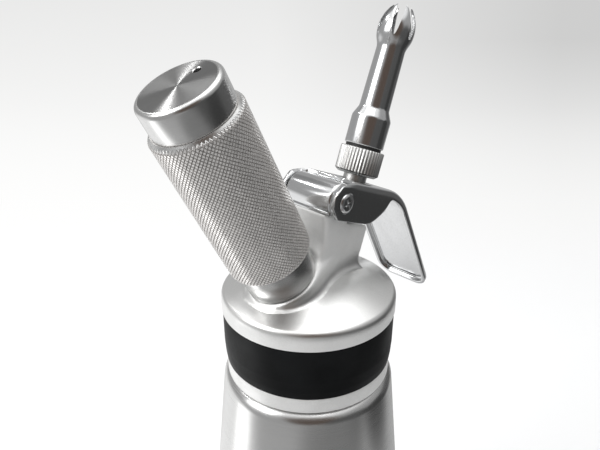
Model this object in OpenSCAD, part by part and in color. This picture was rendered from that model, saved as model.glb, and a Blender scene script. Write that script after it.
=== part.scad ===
// Whipped cream dispenser: a tapered steel bottle with a screwed aluminium head.
// The head carries a leaning charger holder, a lever valve and a screwed tulip nozzle.
// Millimetres, +Z up. The origin is the centre of the bottle's flat base.
// +X points to the lever's side, and the object is symmetric about the XZ plane.

/* [Bottle] */
// Height of the bottle's shoulder, which the head's skirt stops over
shoulder_z = 169.4; // [150:0.1:200]
// Outer radius of the bottle's straight wall
bottle_r = 40.5; // [38:0.1:46]
// Height at which the wall begins to lean inwards
straight_top = 76; // [50:1:90]
// Outer radius of the bottle under the head
shoulder_r = 31; // [30:0.1:33]
// Radius of the curve between the straight wall and the taper
waist_curve = 60; // [30:1:90]
// Rounding of the base's edge
base_round = 7; // [4:0.5:10]
// Rounding of the shoulder's edge
shoulder_round = 2; // [1.5:0.1:3]
// Wall thickness of the bottle
bottle_wall = 1.2; // [0.8:0.1:1.4]
// Outer radius of the plain neck tube above the shoulder
neck_r = 24.4; // [23.5:0.1:24.8]
// Thickness of the lip that is rolled out over the thread ring
lip_t = 0.9; // [0.6:0.1:1.4]
// Crest radius of the neck's thread
neck_thread_r = 26.4; // [26.2:0.1:26.8]
// Depth of the neck's thread
neck_thread_depth = 0.7; // [0.4:0.05:0.9]
// Pitch of the neck's thread
neck_pitch = 4; // [3:0.5:5]

/* [Head] */
// Height of the bare lip below the grip band
skirt_lip_h = 5.7; // [4:0.1:8]
// Outer radius of the lip below the grip band
skirt_lip_r = 29.8; // [29.5:0.1:30.2]
// Height of the grip band
band_h = 19.4; // [15:0.1:22]
// Outer radius of the grip band at its top
band_r = 30.6; // [30.2:0.1:31.5]
// How much narrower the grip band is at its bottom
band_taper = 0.3; // [0:0.05:0.4]
// Outer radius of the casting under the grip band
band_seat_r = 28.9; // [28.3:0.1:29.4]
// Outer radius of the head's rim
rim_r = 30.9; // [30.6:0.1:32]
// Height of the rim above the grip band, up to where it rounds over
rim_h = 4.9; // [4:0.1:8]
// Rounding between the rim and the dome
rim_round = 2.3; // [1:0.1:3]
// Height of the dome's middle above the grip band
dome_h = 13.2; // [11:0.1:15]
// Height of the flat ceiling inside, above the top of the grip band
ceiling_h = 2.6; // [1.5:0.1:4]
// Thickness of the head gasket
gasket_t = 2.4; // [1.5:0.1:3]
// Inner radius of the head gasket
gasket_hole_r = 22.5; // [21:0.1:23]
// Play between the neck's thread and the head's
head_thread_play = 0.25; // [0.15:0.05:0.4]

/* [Charger holder] */
// Lean of the holder's axis away from the lever
holder_lean = 27.3; // [20:0.1:32]
// Distance of the holder's foot from the bottle's axis
holder_x = -13.3; // [-15:0.1:-12]
// Height of the holder's foot above the grip band
holder_foot_h = 16; // [15:0.1:18]
// Outer radius of the plain collar at the holder's foot
collar_r = 12.1; // [12:0.1:12.6]
// Length of the plain collar
collar_len = 11.2; // [9:0.1:14]
// Outer radius of the knurled grip
grip_r = 14; // [13:0.1:15]
// Length of the chamfer at the grip's top
grip_chamfer = 2; // [1:0.1:3]
// Outer radius of the turned cap at the holder's top
cap_r = 12.4; // [12.2:0.1:12.8]
// Length of the turned cap
cap_len = 9.2; // [8:0.1:11]
// Rounding of the cap's edge
cap_round = 0.8; // [0.4:0.1:1.2]
// Outer radius of the tube inside the grip
tube_r = 11.6; // [11:0.1:11.8]
// Inner radius of the holder, round the charger
holder_bore_r = 9.2; // [9.1:0.05:9.6]
// Inner radius of the holder's threaded mouth
mouth_r = 9.85; // [9.8:0.05:10.2]
// Depth of the holder's threaded mouth
mouth_len = 9.5; // [8:0.1:11]
// Thickness of the holder's end wall
holder_end_t = 3.8; // [3:0.1:5]
// Radius of the vent hole through the end wall
vent_r = 1.15; // [0.8:0.05:1.5]
// Distance of the vent hole from the holder's axis
vent_offset = 7; // [5:0.1:8]
// Outer radius of the cast boss under the holder
boss_r = 13.2; // [12.8:0.1:14]

/* [Charger] */
// Outer radius of the gas charger
charger_r = 9; // [8.9:0.05:9.05]
// Length of the gas charger
charger_len = 65.5; // [64:0.1:66]
// Radius of the charger's neck
charger_neck_r = 4.4; // [4:0.1:4.6]
// Length of the charger's straight neck
charger_neck_len = 5.5; // [5:0.1:7]
// Wall thickness of the charger
charger_wall = 1.8; // [1.4:0.1:2.2]
// Radius of the stud's thread for the holder
stud_r = 9.65; // [9.55:0.05:9.7]
// Height of the stud above the boss
stud_h = 8.2; // [7:0.1:8.5]
// Radius of the stud's shank in the casting
stud_shank_r = 8; // [7:0.1:8.2]
// Length of the stud's shank in the casting
stud_shank_len = 7.6; // [6:0.1:8]
// Radius of the recess that takes the charger's neck
neck_recess_r = 4.9; // [4.8:0.05:5.2]
// Thickness of the seal round the piercing pin
pin_seal_t = 2; // [1.5:0.1:2.5]
// Radius of the piercing pin
pin_r = 1; // [0.8:0.05:1.1]
// Height of the pin's point above the recess floor
pin_reach = 4.4; // [3.5:0.1:5]
// Radius of the gas passage
gas_passage_r = 2.2; // [2:0.1:2.5]
// Radius of the check valve's flange
check_flange_r = 3.9; // [3.5:0.1:4.2]

/* [Lever] */
// Lean of the valve and nozzle towards the lever
valve_lean = 21.6; // [15:0.1:25]
// Distance of the lever's pivot from the bottle's axis
pivot_x = 4.84; // [3:0.01:6]
// Height of the lever's pivot above the grip band
pivot_h = 39.5; // [38:0.1:42]
// Radius of the polished barrel round the pivot
barrel_r = 6.1; // [5.8:0.05:6.3]
// Half length of the barrel
barrel_half = 10.2; // [9.5:0.1:10.3]
// Depth of the barrel's flat foot below the pivot's axis
barrel_drop = 3.5; // [3.4:0.1:4.5]
// Thickness of the barrel's flat foot
barrel_foot_t = 0.8; // [0.5:0.1:1.2]
// Radius of the pivot pin
pivot_pin_r = 2.5; // [2.2:0.05:2.8]
// Half of the lever's inner width
lever_inner_half = 10.8; // [10.7:0.05:11.2]
// Thickness of the lever's sheet
sheet_t = 1.5; // [1.2:0.1:1.8]
// Height of the lever's top face above the pivot's axis
lever_top = 7.4; // [7.2:0.1:8]
// Where the top plate begins, in front of the pivot's axis
plate_start = 2.6; // [2.2:0.1:4]
// Where the top plate begins to bend down
bend_start = 24.7; // [24:0.1:27]
// Outer radius of the lever's bend
bend_r = 22; // [18:0.5:26]
// Angle of the bend
bend_angle = 40.4; // [35:0.1:45]
// Length of the straight handle below the bend
handle_len = 44.8; // [38:0.1:52]
// Depth of the handle's turned-in edges
edge_depth = 3.4; // [2.5:0.1:4]
// Rounding of the handle's lower corners
handle_corner = 6; // [4:0.5:8]
// Radius of the screw heads
screw_head_r = 3.3; // [3:0.1:3.5]
// Height of the screw heads
screw_head_h = 1.5; // [1.2:0.1:2]
// Radius of the screws' shanks
screw_shank_r = 1.5; // [1.4:0.05:1.6]
// Length of the screws' shanks
screw_len = 6; // [4:0.5:8]

/* [Valve] */
// Distance of the valve's axis from the pivot
stem_reach = 16.9; // [16:0.1:18]
// Radius of the valve stem
stem_r = 3; // [2.8:0.05:3.1]
// Radius of the cream passage in the stem
stem_bore_r = 1.7; // [1.2:0.1:2]
// Half width of the cast arm under the barrel
arm_wide = 9; // [8:0.1:9.8]
// Half width of the cast arm at its valve end
arm_half = 7; // [6.8:0.1:8]
// Rounding of the arm's upright edges
arm_corner = 1.8; // [0.8:0.1:2.5]
// Radius of the curve between the arm and the dome
arm_blend = 6; // [3:0.5:8]
// Radius of the curve between the arm and the holder's boss
saddle_blend = 9.5; // [7:0.5:10]
// Distance of the arm's outer face from the valve's axis
arm_outer = 5.9; // [5.8:0.1:7]
// Depth of the arm's top face below the pivot's axis
arm_drop = 7.2; // [7:0.1:8]
// Radius of the spring's pocket in the arm
pocket_r = 4.9; // [4.8:0.05:5.1]
// Depth of the spring's pocket
pocket_len = 6.4; // [5:0.1:8]
// Outer radius of the guide bush
bush_r = 4.3; // [4.2:0.05:4.5]
// Length of the guide bush below the pocket
bush_len = 11.4; // [9:0.1:13]
// Thickness of the bush's flange
bush_flange_t = 1.2; // [0.8:0.1:1.6]
// Length of the valve's boss under the head's ceiling
valve_boss_len = 12; // [10:0.1:15]
// Radius of the valve's boss
valve_boss_r = 7.5; // [7:0.1:8.5]
// Radius of the chamber at the valve's mouth
chamber_r = 4.6; // [4.2:0.1:5]
// Length of the chamber at the valve's mouth
chamber_len = 4; // [3:0.1:6]
// Thickness of the valve's seal
valve_seal_t = 2; // [1.5:0.1:2.5]
// Radius of the valve's seal
valve_seal_r = 6.2; // [5.8:0.1:7]
// Thickness of the nut under the valve's seal
valve_nut_t = 2.5; // [2:0.1:3]
// Radius of the collar that the lever pushes
collar_push_r = 5.9; // [5.7:0.05:6.2]
// Thickness of the collar that the lever pushes
collar_push_t = 3.2; // [2.5:0.1:3.5]
// Wire diameter of the valve's spring
spring_wire = 0.9; // [0.7:0.05:1]
// Number of curls of the valve's spring
spring_curls = 6; // [4:1:7]

/* [Nozzle] */
// Radius of the adapter's neck through the lever's slot
adapter_neck_r = 4.2; // [4:0.1:4.4]
// Height of the fluted ring's bottom above the pivot's axis
ring_bottom = 9.4; // [9.2:0.1:10.5]
// Height of the fluted ring
ring_h = 9.4; // [8:0.1:11]
// Radius of the fluted ring
ring_r = 7.9; // [7.5:0.1:8.2]
// Number of flutes round the ring
flute_count = 42; // [36:2:48]
// Radius of each flute
flute_r = 0.4; // [0.25:0.05:0.4]
// Radius of the adapter's spigot for the nozzle
spigot_r = 4.9; // [4.8:0.05:5]
// Length of the adapter's spigot
spigot_len = 7.2; // [6:0.1:8]
// Thickness of the nozzle's washer
nozzle_seal_t = 0.9; // [0.6:0.1:1.5]
// Radius of the nozzle's base
nozzle_base_r = 7; // [6.8:0.1:7.4]
// Length of the nozzle's base
nozzle_base_len = 11; // [9:0.1:12]
// Length of the nozzle's sloping shoulder
nozzle_slope_len = 3.1; // [2:0.1:5]
// Radius of the nozzle's shaft at its foot
shaft_r = 5.3; // [5.1:0.05:5.6]
// Radius of the nozzle's shaft at its top
shaft_top_r = 5.05; // [4.8:0.05:5.1]
// Length of the nozzle's shaft
shaft_len = 20.9; // [18:0.1:26]
// Widest radius of the tulip crown
crown_r = 6.5; // [6:0.1:7]
// Height of the crown's widest ring above the shaft
crown_wide_h = 5.7; // [4.5:0.1:7]
// Whole height of the crown
crown_h = 14.2; // [12:0.1:16]
// Radius of the crown's tip
crown_tip_r = 3; // [2.6:0.1:3.6]
// Number of points on the crown
crown_points = 6; // [5:1:8]
// Wall thickness of the nozzle
nozzle_wall = 1.1; // [0.8:0.1:1.4]

/* [Clearances] */
// Gap between pieces that seat face to face on each other
seat_gap = 0.05; // [0.03:0.01:0.1]
// Gap round a pin or shaft that turns or slides
running_gap = 0.06; // [0.03:0.01:0.1]
// Gap round a piece that is pressed or screwed in
press_gap = 0.02; // [0.01:0.01:0.04]
// Gap under the head's skirt and under the holder's collar
shadow_gap = 0.4; // [0.3:0.05:0.8]
// Room above the charger in its holder
charger_play = 1.95; // [1:0.05:3]

/* [Hidden] */
$fn = 96;
cut = 0.5;

// Heights of the head, worked out from the bottle.
skirt_depth = skirt_lip_h + band_h;
head_z = shoulder_z + shadow_gap + skirt_depth;
ceiling_z = head_z + ceiling_h;
rim_z = ceiling_z - seat_gap - gasket_t - seat_gap;
skirt_bore_r = neck_thread_r + head_thread_play;
dome_edge_r = rim_r - rim_round;
dome_edge_h = rim_h + rim_round;
dome_rise = dome_h - dome_edge_h;
dome_sphere_r = (dome_edge_r * dome_edge_r + dome_rise * dome_rise) / (2 * dome_rise);

// Heights along the charger holder's axis, from its foot.
holder_foot_z = head_z + holder_foot_h;
boss_top = -shadow_gap;
charger_foot = boss_top + 1.3 + pin_seal_t + seat_gap;
recess_floor = charger_foot - seat_gap - pin_seal_t;
stud_top = boss_top + stud_h;
stud_bottom = boss_top - stud_shank_len;
check_t = 1.5;
check_bill_len = 3.6;
charger_stop = charger_foot + charger_len + charger_play;
holder_len = charger_stop + holder_end_t;
grip_len = holder_len - collar_len - cap_len;

// Places in the valve's frame: x is the reach from the pivot, z is the height along the axis.
pivot_z = head_z + pivot_h;
plate_under = lever_top - sheet_t;
arm_top = -arm_drop;
pocket_floor = arm_top - pocket_len;
bush_bottom = pocket_floor - bush_len;
o_ring_r = (bush_r - stem_r - running_gap) / 2;
o_ring_step = 2 * o_ring_r + 0.1;
gland_floor = bush_bottom - 2 * o_ring_step;
stem_x = pivot_x + stem_reach * cos(valve_lean);
stem_z = pivot_z - stem_reach * sin(valve_lean);
ceiling_axis = (ceiling_z - stem_z) / cos(valve_lean);
valve_seat = ceiling_axis - valve_boss_len;
seal_top = valve_seat - seat_gap;
seal_bottom = seal_top - valve_seal_t;
stem_bottom = seal_bottom - valve_nut_t - 0.6;
port_h = valve_seat + chamber_len / 2;
port_r = 1.1;
collar_top = plate_under - 0.1;
collar_bottom = collar_top - collar_push_t;
ring_top = ring_bottom + ring_h;
stem_top = ring_top + 3;
spigot_top = ring_top + spigot_len;
nozzle_foot = ring_top + nozzle_seal_t + 2 * seat_gap;
barrel_foot_h = pivot_h - barrel_drop;
barrel_foot_half = barrel_r - 0.2;
slot_half = adapter_neck_r + 0.35;
slot_front = stem_reach - 1.3;
slot_back = stem_reach + 2;

// Carries its children from the holder's own frame to the object's.
module on_holder() {
    translate([holder_x, 0, holder_foot_z]) rotate([0, -holder_lean, 0]) children();
}

// Carries its children from the valve's frame, at the pivot, to the object's.
module on_valve() {
    translate([pivot_x, 0, pivot_z]) rotate([0, valve_lean, 0]) children();
}

// Carries its children from the valve stem's axis to the object's.
module on_stem() {
    on_valve() translate([stem_reach, 0, 0]) children();
}

// A plain ring or tube between two heights.
module ring(outer_r, inner_r, bottom, top) {
    translate([0, 0, bottom]) difference() {
        cylinder(r = outer_r, h = top - bottom);
        translate([0, 0, -cut]) cylinder(r = inner_r, h = top - bottom + 2 * cut);
    }
}

// A solid round rod between two heights.
module rod(radius, bottom, top) {
    translate([0, 0, bottom]) cylinder(r = radius, h = top - bottom);
}

// Points of an arc from one angle to another.
function arc(centre, radius, from, to, steps) = [
    for (i = [0:steps])
        let (angle = from + (to - from) * i / steps)
        [centre.x + radius * cos(angle), centre.y + radius * sin(angle)]
];

// The bottle's outline, drawn in by an inset to give its inner wall.
taper_angle = atan((bottle_r - shoulder_r) / (shoulder_z - shoulder_round - straight_top));
function bottle_outline(inset) = concat(
    [[0, inset]],
    arc([bottle_r - base_round, base_round], base_round - inset, -90, 0, 10),
    arc([bottle_r - waist_curve, straight_top], waist_curve - inset, 0, taper_angle, 4),
    arc([shoulder_r - shoulder_round, shoulder_z - shoulder_round], shoulder_round - inset,
        taper_angle, 90, 5),
    [[neck_r - inset, shoulder_z - inset]]
);

module bottle() {
    color("#c9cbcd") difference() {
        rotate_extrude() polygon(concat(
            bottle_outline(0),
            [[neck_r, rim_z - lip_t], [neck_r + 1.4, rim_z - lip_t], [neck_r + 1.4, rim_z], [0, rim_z]]
        ));
        rotate_extrude() polygon(concat(
            bottle_outline(bottle_wall),
            [[neck_r - bottle_wall, rim_z + cut], [0, rim_z + cut]]
        ));
    }
}

// Thread crests are plain rounds, one for each pitch.
neck_ring_top = rim_z - lip_t;
neck_crests = floor((neck_ring_top - shoulder_z - 1) / neck_pitch);
crest_half = neck_pitch * 0.22;
module neck_ring() {
    root_r = neck_thread_r - neck_thread_depth;
    crests = [
        for (i = [0:neck_crests - 1])
            let (middle = shoulder_z + 1 + neck_pitch * (i + 0.5))
            each [[root_r, middle - crest_half - 0.5], [neck_thread_r, middle - crest_half],
                [neck_thread_r, middle + crest_half], [root_r, middle + crest_half + 0.5]]
    ];
    color("#b9bcbf") rotate_extrude() polygon(concat(
        [[neck_r + press_gap, shoulder_z], [root_r, shoulder_z]],
        crests,
        [[root_r, neck_ring_top], [neck_r + press_gap, neck_ring_top]]
    ));
}

// The head's round outside: lip, band seat, rim and dome.
module head_shell() {
    dome_angle = asin(dome_edge_r / dome_sphere_r);
    rotate_extrude() polygon(concat(
        [[0, -skirt_depth], [skirt_lip_r, -skirt_depth], [skirt_lip_r, -band_h], [band_seat_r, -band_h],
            [band_seat_r, 0], [rim_r, 0]],
        arc([dome_edge_r, rim_h], rim_round, 0, 90 - dome_angle, 6),
        arc([0, dome_h - dome_sphere_r], dome_sphere_r, 90 - dome_angle, 90, 10)
    ));
}

// Side view of the arm, from the dome up to the barrel's foot and the spring's pocket.
function valve_point(reach, height) = [
    pivot_x + reach * cos(valve_lean) + height * sin(valve_lean),
    pivot_h - reach * sin(valve_lean) + height * cos(valve_lean)
];
arm_face_x = pivot_x - barrel_r;
arm_far_x = stem_x + 3.5;
arm_edge = stem_reach + arm_outer;
arm_root = ceiling_h + 0.8;
arm_round = 1.5;
saddle_len = 8;
saddle_half = arm_wide - saddle_len * (arm_wide - arm_half) / (arm_far_x - arm_face_x) - 0.15;
saddle_bottom = dome_h - 2;
saddle_top = dome_h + 7;
module arm_side() {
    corner = valve_point(arm_edge, arm_top);
    root = valve_point(arm_edge, (arm_root - corner.y) / cos(valve_lean) + arm_top);
    step_x = barrel_foot_half - 0.3;
    step = valve_point((step_x - arm_top * sin(valve_lean)) / cos(valve_lean), arm_top);
    polygon(concat(
        [[-rim_r, arm_root], [-rim_r, barrel_foot_h], [step.x, barrel_foot_h], step],
        [for (point = arc([arm_edge - arm_round, arm_top - arm_round], arm_round, 90, 0, 5))
            valve_point(point.x, point.y)],
        [root]
    ));
}

// Height of the dome's surface above the grip band.
function dome_height(x, y) =
    dome_h - dome_sphere_r + sqrt(dome_sphere_r * dome_sphere_r - x * x - y * y);

// The arm is a stack of levels. Each is a rounded outline seen from above, grown by an amount.
corner_steps = 4;
arm_taper = atan((arm_wide - arm_half) / (arm_far_x - arm_face_x));
function arm_level(face_x, grow) = concat(
    arc([arm_far_x, arm_half - arm_corner], arm_corner + grow, 0, 90 - arm_taper, corner_steps),
    arc([face_x + arm_corner, arm_wide - arm_corner], arm_corner + grow, 90 - arm_taper, 180,
        corner_steps),
    arc([face_x + arm_corner, arm_corner - arm_wide], arm_corner + grow, 180, 270 + arm_taper,
        corner_steps),
    arc([arm_far_x, arm_corner - arm_half], arm_corner + grow, 270 + arm_taper, 360, corner_steps)
);
// Levels from the arm's root up: the curve out of the dome, the curve off the boss, and the top.
foot_face_x = arm_face_x - saddle_blend * (1 - cos(75));
function foot_level(angle) = [
    for (point = arm_level(foot_face_x, arm_blend * (1 - cos(angle))))
        [point.x, point.y, dome_height(point.x, point.y) - 0.3 + arm_blend * (1 - sin(angle))]
];
arm_levels = concat(
    [[for (point = arm_level(foot_face_x, arm_blend * (1 - cos(80)))) [point.x, point.y, arm_root]]],
    [for (angle = [80:-20:0]) foot_level(angle)],
    [for (angle = [75:-15:0])
        [for (point = arm_level(arm_face_x - saddle_blend * (1 - cos(angle)), 0))
            [point.x, point.y, saddle_top + 8 - saddle_blend * sin(angle)]]],
    [[for (point = arm_level(arm_face_x, 0)) [point.x, point.y, barrel_foot_h + cut]]]
);
module arm_stack() {
    count = len(arm_levels[0]);
    top = len(arm_levels) - 1;
    polyhedron(
        [for (level = arm_levels) each level],
        concat(
            [[for (i = [0:count - 1]) i]],
            [for (k = [0:top - 1], i = [0:count - 1])
                let (a = k * count + i, b = k * count + (i + 1) % count)
                each [[a, a + count, b], [b, a + count, b + count]]],
            [[for (i = [count - 1:-1:0]) top * count + i]]
        )
    );
}

module arm() {
    difference() {
        intersection() {
            translate([0, 0, head_z]) arm_stack();
            translate([0, rim_r, head_z]) rotate([90, 0, 0]) linear_extrude(2 * rim_r) arm_side();
        }
        // Room for the holder's collar.
        on_holder() rod(collar_r + 0.7, boss_top, collar_len);
    }
}

module holder_boss() {
    on_holder() rod(boss_r, boss_top - 13, boss_top);
    // A saddle joins the boss to the arm.
    hull() {
        on_holder() rotate([0, 0, 180 / 32]) translate([0, 0, boss_top - 2.1])
            cylinder(r = boss_r - 0.1, h = 2, $fn = 32);
        translate([arm_face_x, -saddle_half, head_z + saddle_bottom])
            cube([saddle_len, 2 * saddle_half, saddle_top - saddle_bottom]);
    }
}

// Rounds cut inside the skirt, opposite the neck's crests.
module skirt_thread() {
    depth = 0.6;
    for (i = [0:neck_crests - 1]) {
        middle = shoulder_z + 1 + neck_pitch * (i + 0.5);
        translate([0, 0, middle]) rotate_extrude() polygon([
            [skirt_bore_r - cut, -crest_half - 0.5], [skirt_bore_r, -crest_half - 0.5],
            [skirt_bore_r + depth, -crest_half], [skirt_bore_r + depth, crest_half],
            [skirt_bore_r, crest_half + 0.5], [skirt_bore_r - cut, crest_half + 0.5]]);
    }
}

module head_casting() {
    color("#d8dadb") difference() {
        union() {
            difference() {
                union() {
                    translate([0, 0, head_z]) head_shell();
                    holder_boss();
                    arm();
                }
                translate([0, 0, head_z - skirt_depth - cut])
                    cylinder(r = skirt_bore_r, h = skirt_depth + ceiling_h + cut);
                skirt_thread();
            }
            on_stem() rod(valve_boss_r, valve_seat, ceiling_axis + 6);
        }
        // Socket for the charger's stud, the check valve and the gas passage.
        on_holder() rod(stud_shank_r + press_gap, stud_bottom, boss_top + cut);
        on_holder() rod(check_flange_r + press_gap, stud_bottom - check_t, stud_bottom + cut);
        on_holder() rod(gas_passage_r, stud_bottom - 14, stud_bottom);
        // Spring pocket, bush seat, gland, clear bore and valve chamber.
        on_stem() rod(pocket_r, pocket_floor, arm_top + 12);
        on_stem() rod(bush_r + press_gap, gland_floor, pocket_floor + cut);
        on_stem() rod(stem_r + 0.4, valve_seat - cut, gland_floor + cut);
        on_stem() rod(chamber_r, valve_seat - cut, valve_seat + chamber_len);
    }
}

module grip_band() {
    step_h = 3;
    color("#15181a") translate([0, 0, head_z]) rotate_extrude() polygon([
        [band_seat_r + press_gap, -band_h + press_gap],
        [band_r - band_taper - 0.4, -band_h + press_gap],
        [band_r - band_taper, -band_h + step_h],
        [band_r - 0.05, -band_h + step_h + 4],
        [band_r, -0.3],
        [band_r - 0.2, -press_gap],
        [band_seat_r + press_gap, -press_gap]]);
}

module head_gasket() {
    color("#e9e6df") ring(skirt_bore_r - 0.3, gasket_hole_r, rim_z + seat_gap, ceiling_z - seat_gap);
}

module charger_stud() {
    // Crests of the stud's thread for the holder.
    thread_pitch = 1.5;
    crest_count = floor((stud_h - 1.5) / thread_pitch);
    color("#c4b27a") on_holder() difference() {
        union() {
            rod(stud_shank_r, stud_bottom + seat_gap, boss_top + 0.5);
            rod(stud_r - 0.5, boss_top, stud_top);
            for (i = [0:crest_count - 1]) {
                middle = boss_top + 1.2 + thread_pitch * (i + 0.5);
                translate([0, 0, middle]) rotate_extrude() polygon([
                    [1, -0.6], [stud_r - 0.5, -0.6], [stud_r, -0.2], [stud_r, 0.2], [stud_r - 0.5, 0.6],
                    [1, 0.6]]);
            }
        }
        rod(neck_recess_r, recess_floor, stud_top + cut);
        // The recess opens to the charger's sloping shoulder.
        translate([0, 0, stud_top - 2])
            cylinder(r1 = neck_recess_r, r2 = neck_recess_r + 2.2, h = 2 + press_gap);
        rod(pin_r + 0.8 + press_gap, recess_floor - 2.6, recess_floor + cut);
        rod(pin_r, stud_bottom - cut, recess_floor);
    }
}

module piercing_pin() {
    color("#8f9498") on_holder() difference() {
        union() {
            rod(pin_r + 0.8, recess_floor - 2.6, recess_floor);
            rod(pin_r, recess_floor - 2.6, recess_floor + pin_reach - 1.4);
            translate([0, 0, recess_floor + pin_reach - 1.4]) cylinder(r1 = pin_r, r2 = 0.45, h = 1.4);
        }
        rod(0.35, recess_floor - 3, recess_floor + pin_reach + cut);
    }
}

module pin_seal() {
    color("#3a3d40") on_holder()
        ring(neck_recess_r - press_gap, pin_r + press_gap, recess_floor + press_gap,
            recess_floor + pin_seal_t);
}

module check_valve() {
    color("#d24c38") on_holder() difference() {
        union() {
            rod(check_flange_r, stud_bottom - check_t + press_gap, stud_bottom);
            rod(gas_passage_r - 0.2, stud_bottom - check_t - check_bill_len, stud_bottom);
        }
        rod(0.7, stud_bottom - check_t - check_bill_len + 0.8, stud_bottom + cut);
        // The bill's slit lets gas out and nothing back.
        translate([-0.1, -2, stud_bottom - check_t - check_bill_len - cut]) cube([0.2, 4, 2]);
    }
}

module gas_charger() {
    neck_end = charger_foot + charger_neck_len;
    dome_start = charger_foot + charger_len - charger_r;
    slope = 7;
    inner_r = charger_r - charger_wall;
    color("#b7babd") on_holder() difference() {
        rotate_extrude() polygon(concat(
            [[0, charger_foot], [charger_neck_r - 0.4, charger_foot], [charger_neck_r, charger_foot + 0.4],
                [charger_neck_r, neck_end]],
            [for (i = [1:8]) let (part = (1 - cos(180 * i / 8)) / 2)
                [charger_neck_r + (charger_r - charger_neck_r) * part, neck_end + slope * i / 8]],
            arc([0, dome_start], charger_r, 0, 90, 10)
        ));
        rotate_extrude() polygon(concat(
            [[0, neck_end], [charger_neck_r - charger_wall, neck_end]],
            [for (i = [1:8]) let (part = (1 - cos(180 * i / 8)) / 2)
                [charger_neck_r - charger_wall + (charger_r - charger_neck_r) * part,
                    neck_end + charger_wall + slope * i / 8]],
            arc([0, dome_start], inner_r, 0, 90, 10)
        ));
        rod(pin_r + 0.25, charger_foot - cut, neck_end + cut);
    }
}

module holder_tube() {
    thread_pitch = 1.5;
    color("#c2c4c6") on_holder() difference() {
        rotate_extrude() polygon(concat(
            [[0, 0], [collar_r - 0.3, 0], [collar_r, 0.3], [collar_r, collar_len],
                [tube_r, collar_len], [tube_r, collar_len + grip_len],
                [cap_r - 0.2, collar_len + grip_len], [cap_r, collar_len + grip_len + 0.2]],
            arc([cap_r - cap_round, holder_len - cap_round], cap_round, 0, 90, 5),
            [[0, holder_len]]
        ));
        rod(mouth_r, -cut, mouth_len);
        rod(holder_bore_r, -cut, charger_stop);
        for (i = [0:floor((mouth_len - 2) / thread_pitch) - 1]) {
            translate([0, 0, 1.4 + thread_pitch * i]) rotate_extrude() polygon([
                [mouth_r - cut, -0.6], [mouth_r, -0.6], [mouth_r + 0.4, -0.2], [mouth_r + 0.4, 0.2],
                [mouth_r, 0.6], [mouth_r - cut, 0.6]]);
        }
        translate([vent_offset, 0, 0]) rod(vent_r, charger_stop - cut, holder_len + cut);
    }
}

module knurled_sleeve() {
    bottom = collar_len + seat_gap;
    top = collar_len + grip_len - seat_gap;
    inner_r = tube_r + press_gap;
    color("#a9a5a2") on_holder() rotate_extrude() polygon([
        [inner_r, bottom], [grip_r - 0.4, bottom], [grip_r, bottom + 0.4], [grip_r, top - grip_chamfer],
        [cap_r + 0.2, top], [inner_r, top]]);
}

module pivot_barrel() {
    chamfer = 1.2;
    foot_inset = 0.3;
    color("#d6d8da") difference() {
        union() {
            translate([pivot_x, 0, pivot_z]) rotate([90, 0, 0]) rotate_extrude() polygon([
                [0, -barrel_half], [barrel_r - chamfer, -barrel_half], [barrel_r, -barrel_half + chamfer],
                [barrel_r, barrel_half - chamfer], [barrel_r - chamfer, barrel_half], [0, barrel_half]]);
            translate([pivot_x - barrel_foot_half, foot_inset - barrel_half, head_z + barrel_foot_h])
                cube([2 * barrel_foot_half, 2 * (barrel_half - foot_inset), barrel_foot_t]);
        }
        translate([pivot_x - barrel_r, -barrel_half - cut, head_z + barrel_foot_h - barrel_r])
            cube([2 * barrel_r, 2 * barrel_half + 2 * cut, barrel_r]);
        translate([pivot_x, 0, pivot_z]) rotate([90, 0, 0])
            translate([0, 0, -barrel_half - cut])
            cylinder(r = pivot_pin_r + running_gap, h = 2 * barrel_half + 2 * cut);
    }
}

lever_outer_half = lever_inner_half + sheet_t;
head_recess = 0.6;
pin_half = lever_outer_half - head_recess - seat_gap;
module pivot_pin() {
    color("#9a9ea2") translate([pivot_x, 0, pivot_z]) rotate([90, 0, 0]) difference() {
        rod(pivot_pin_r, -pin_half, pin_half);
        rod(screw_shank_r + press_gap, -pin_half - cut, -pin_half + screw_len + 0.5);
        rod(screw_shank_r + press_gap, pin_half - screw_len - 0.5, pin_half + cut);
    }
}

// One cross-slotted screw, with its head's seat at z = 0 and its shank below.
module screw() {
    difference() {
        union() {
            rod(screw_shank_r, -screw_len, 0.2);
            rotate_extrude() polygon(concat(
                [[0, 0], [screw_head_r, 0]],
                arc([screw_head_r - 0.5, screw_head_h - 0.5], 0.5, 0, 80, 4),
                [[0, screw_head_h]]
            ));
        }
        for (turn = [0, 90])
            rotate([0, 0, turn]) translate([-1.9, -0.35, screw_head_h - 0.9]) cube([3.8, 0.7, 2]);
    }
}

module pivot_screws() {
    color("#c6c8ca") translate([pivot_x, 0, pivot_z]) for (side = [-1, 1])
        rotate([90 * side, 0, 0]) translate([0, 0, pin_half + seat_gap]) screw();
}

module pivot_washers() {
    inner = barrel_half + seat_gap;
    outer = lever_inner_half - seat_gap;
    color("#e4e2da") translate([pivot_x, 0, pivot_z]) for (side = [-1, 1])
        rotate([90 * side, 0, 0]) ring(pivot_pin_r + 1.8, pivot_pin_r + running_gap, inner, outer);
}

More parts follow.
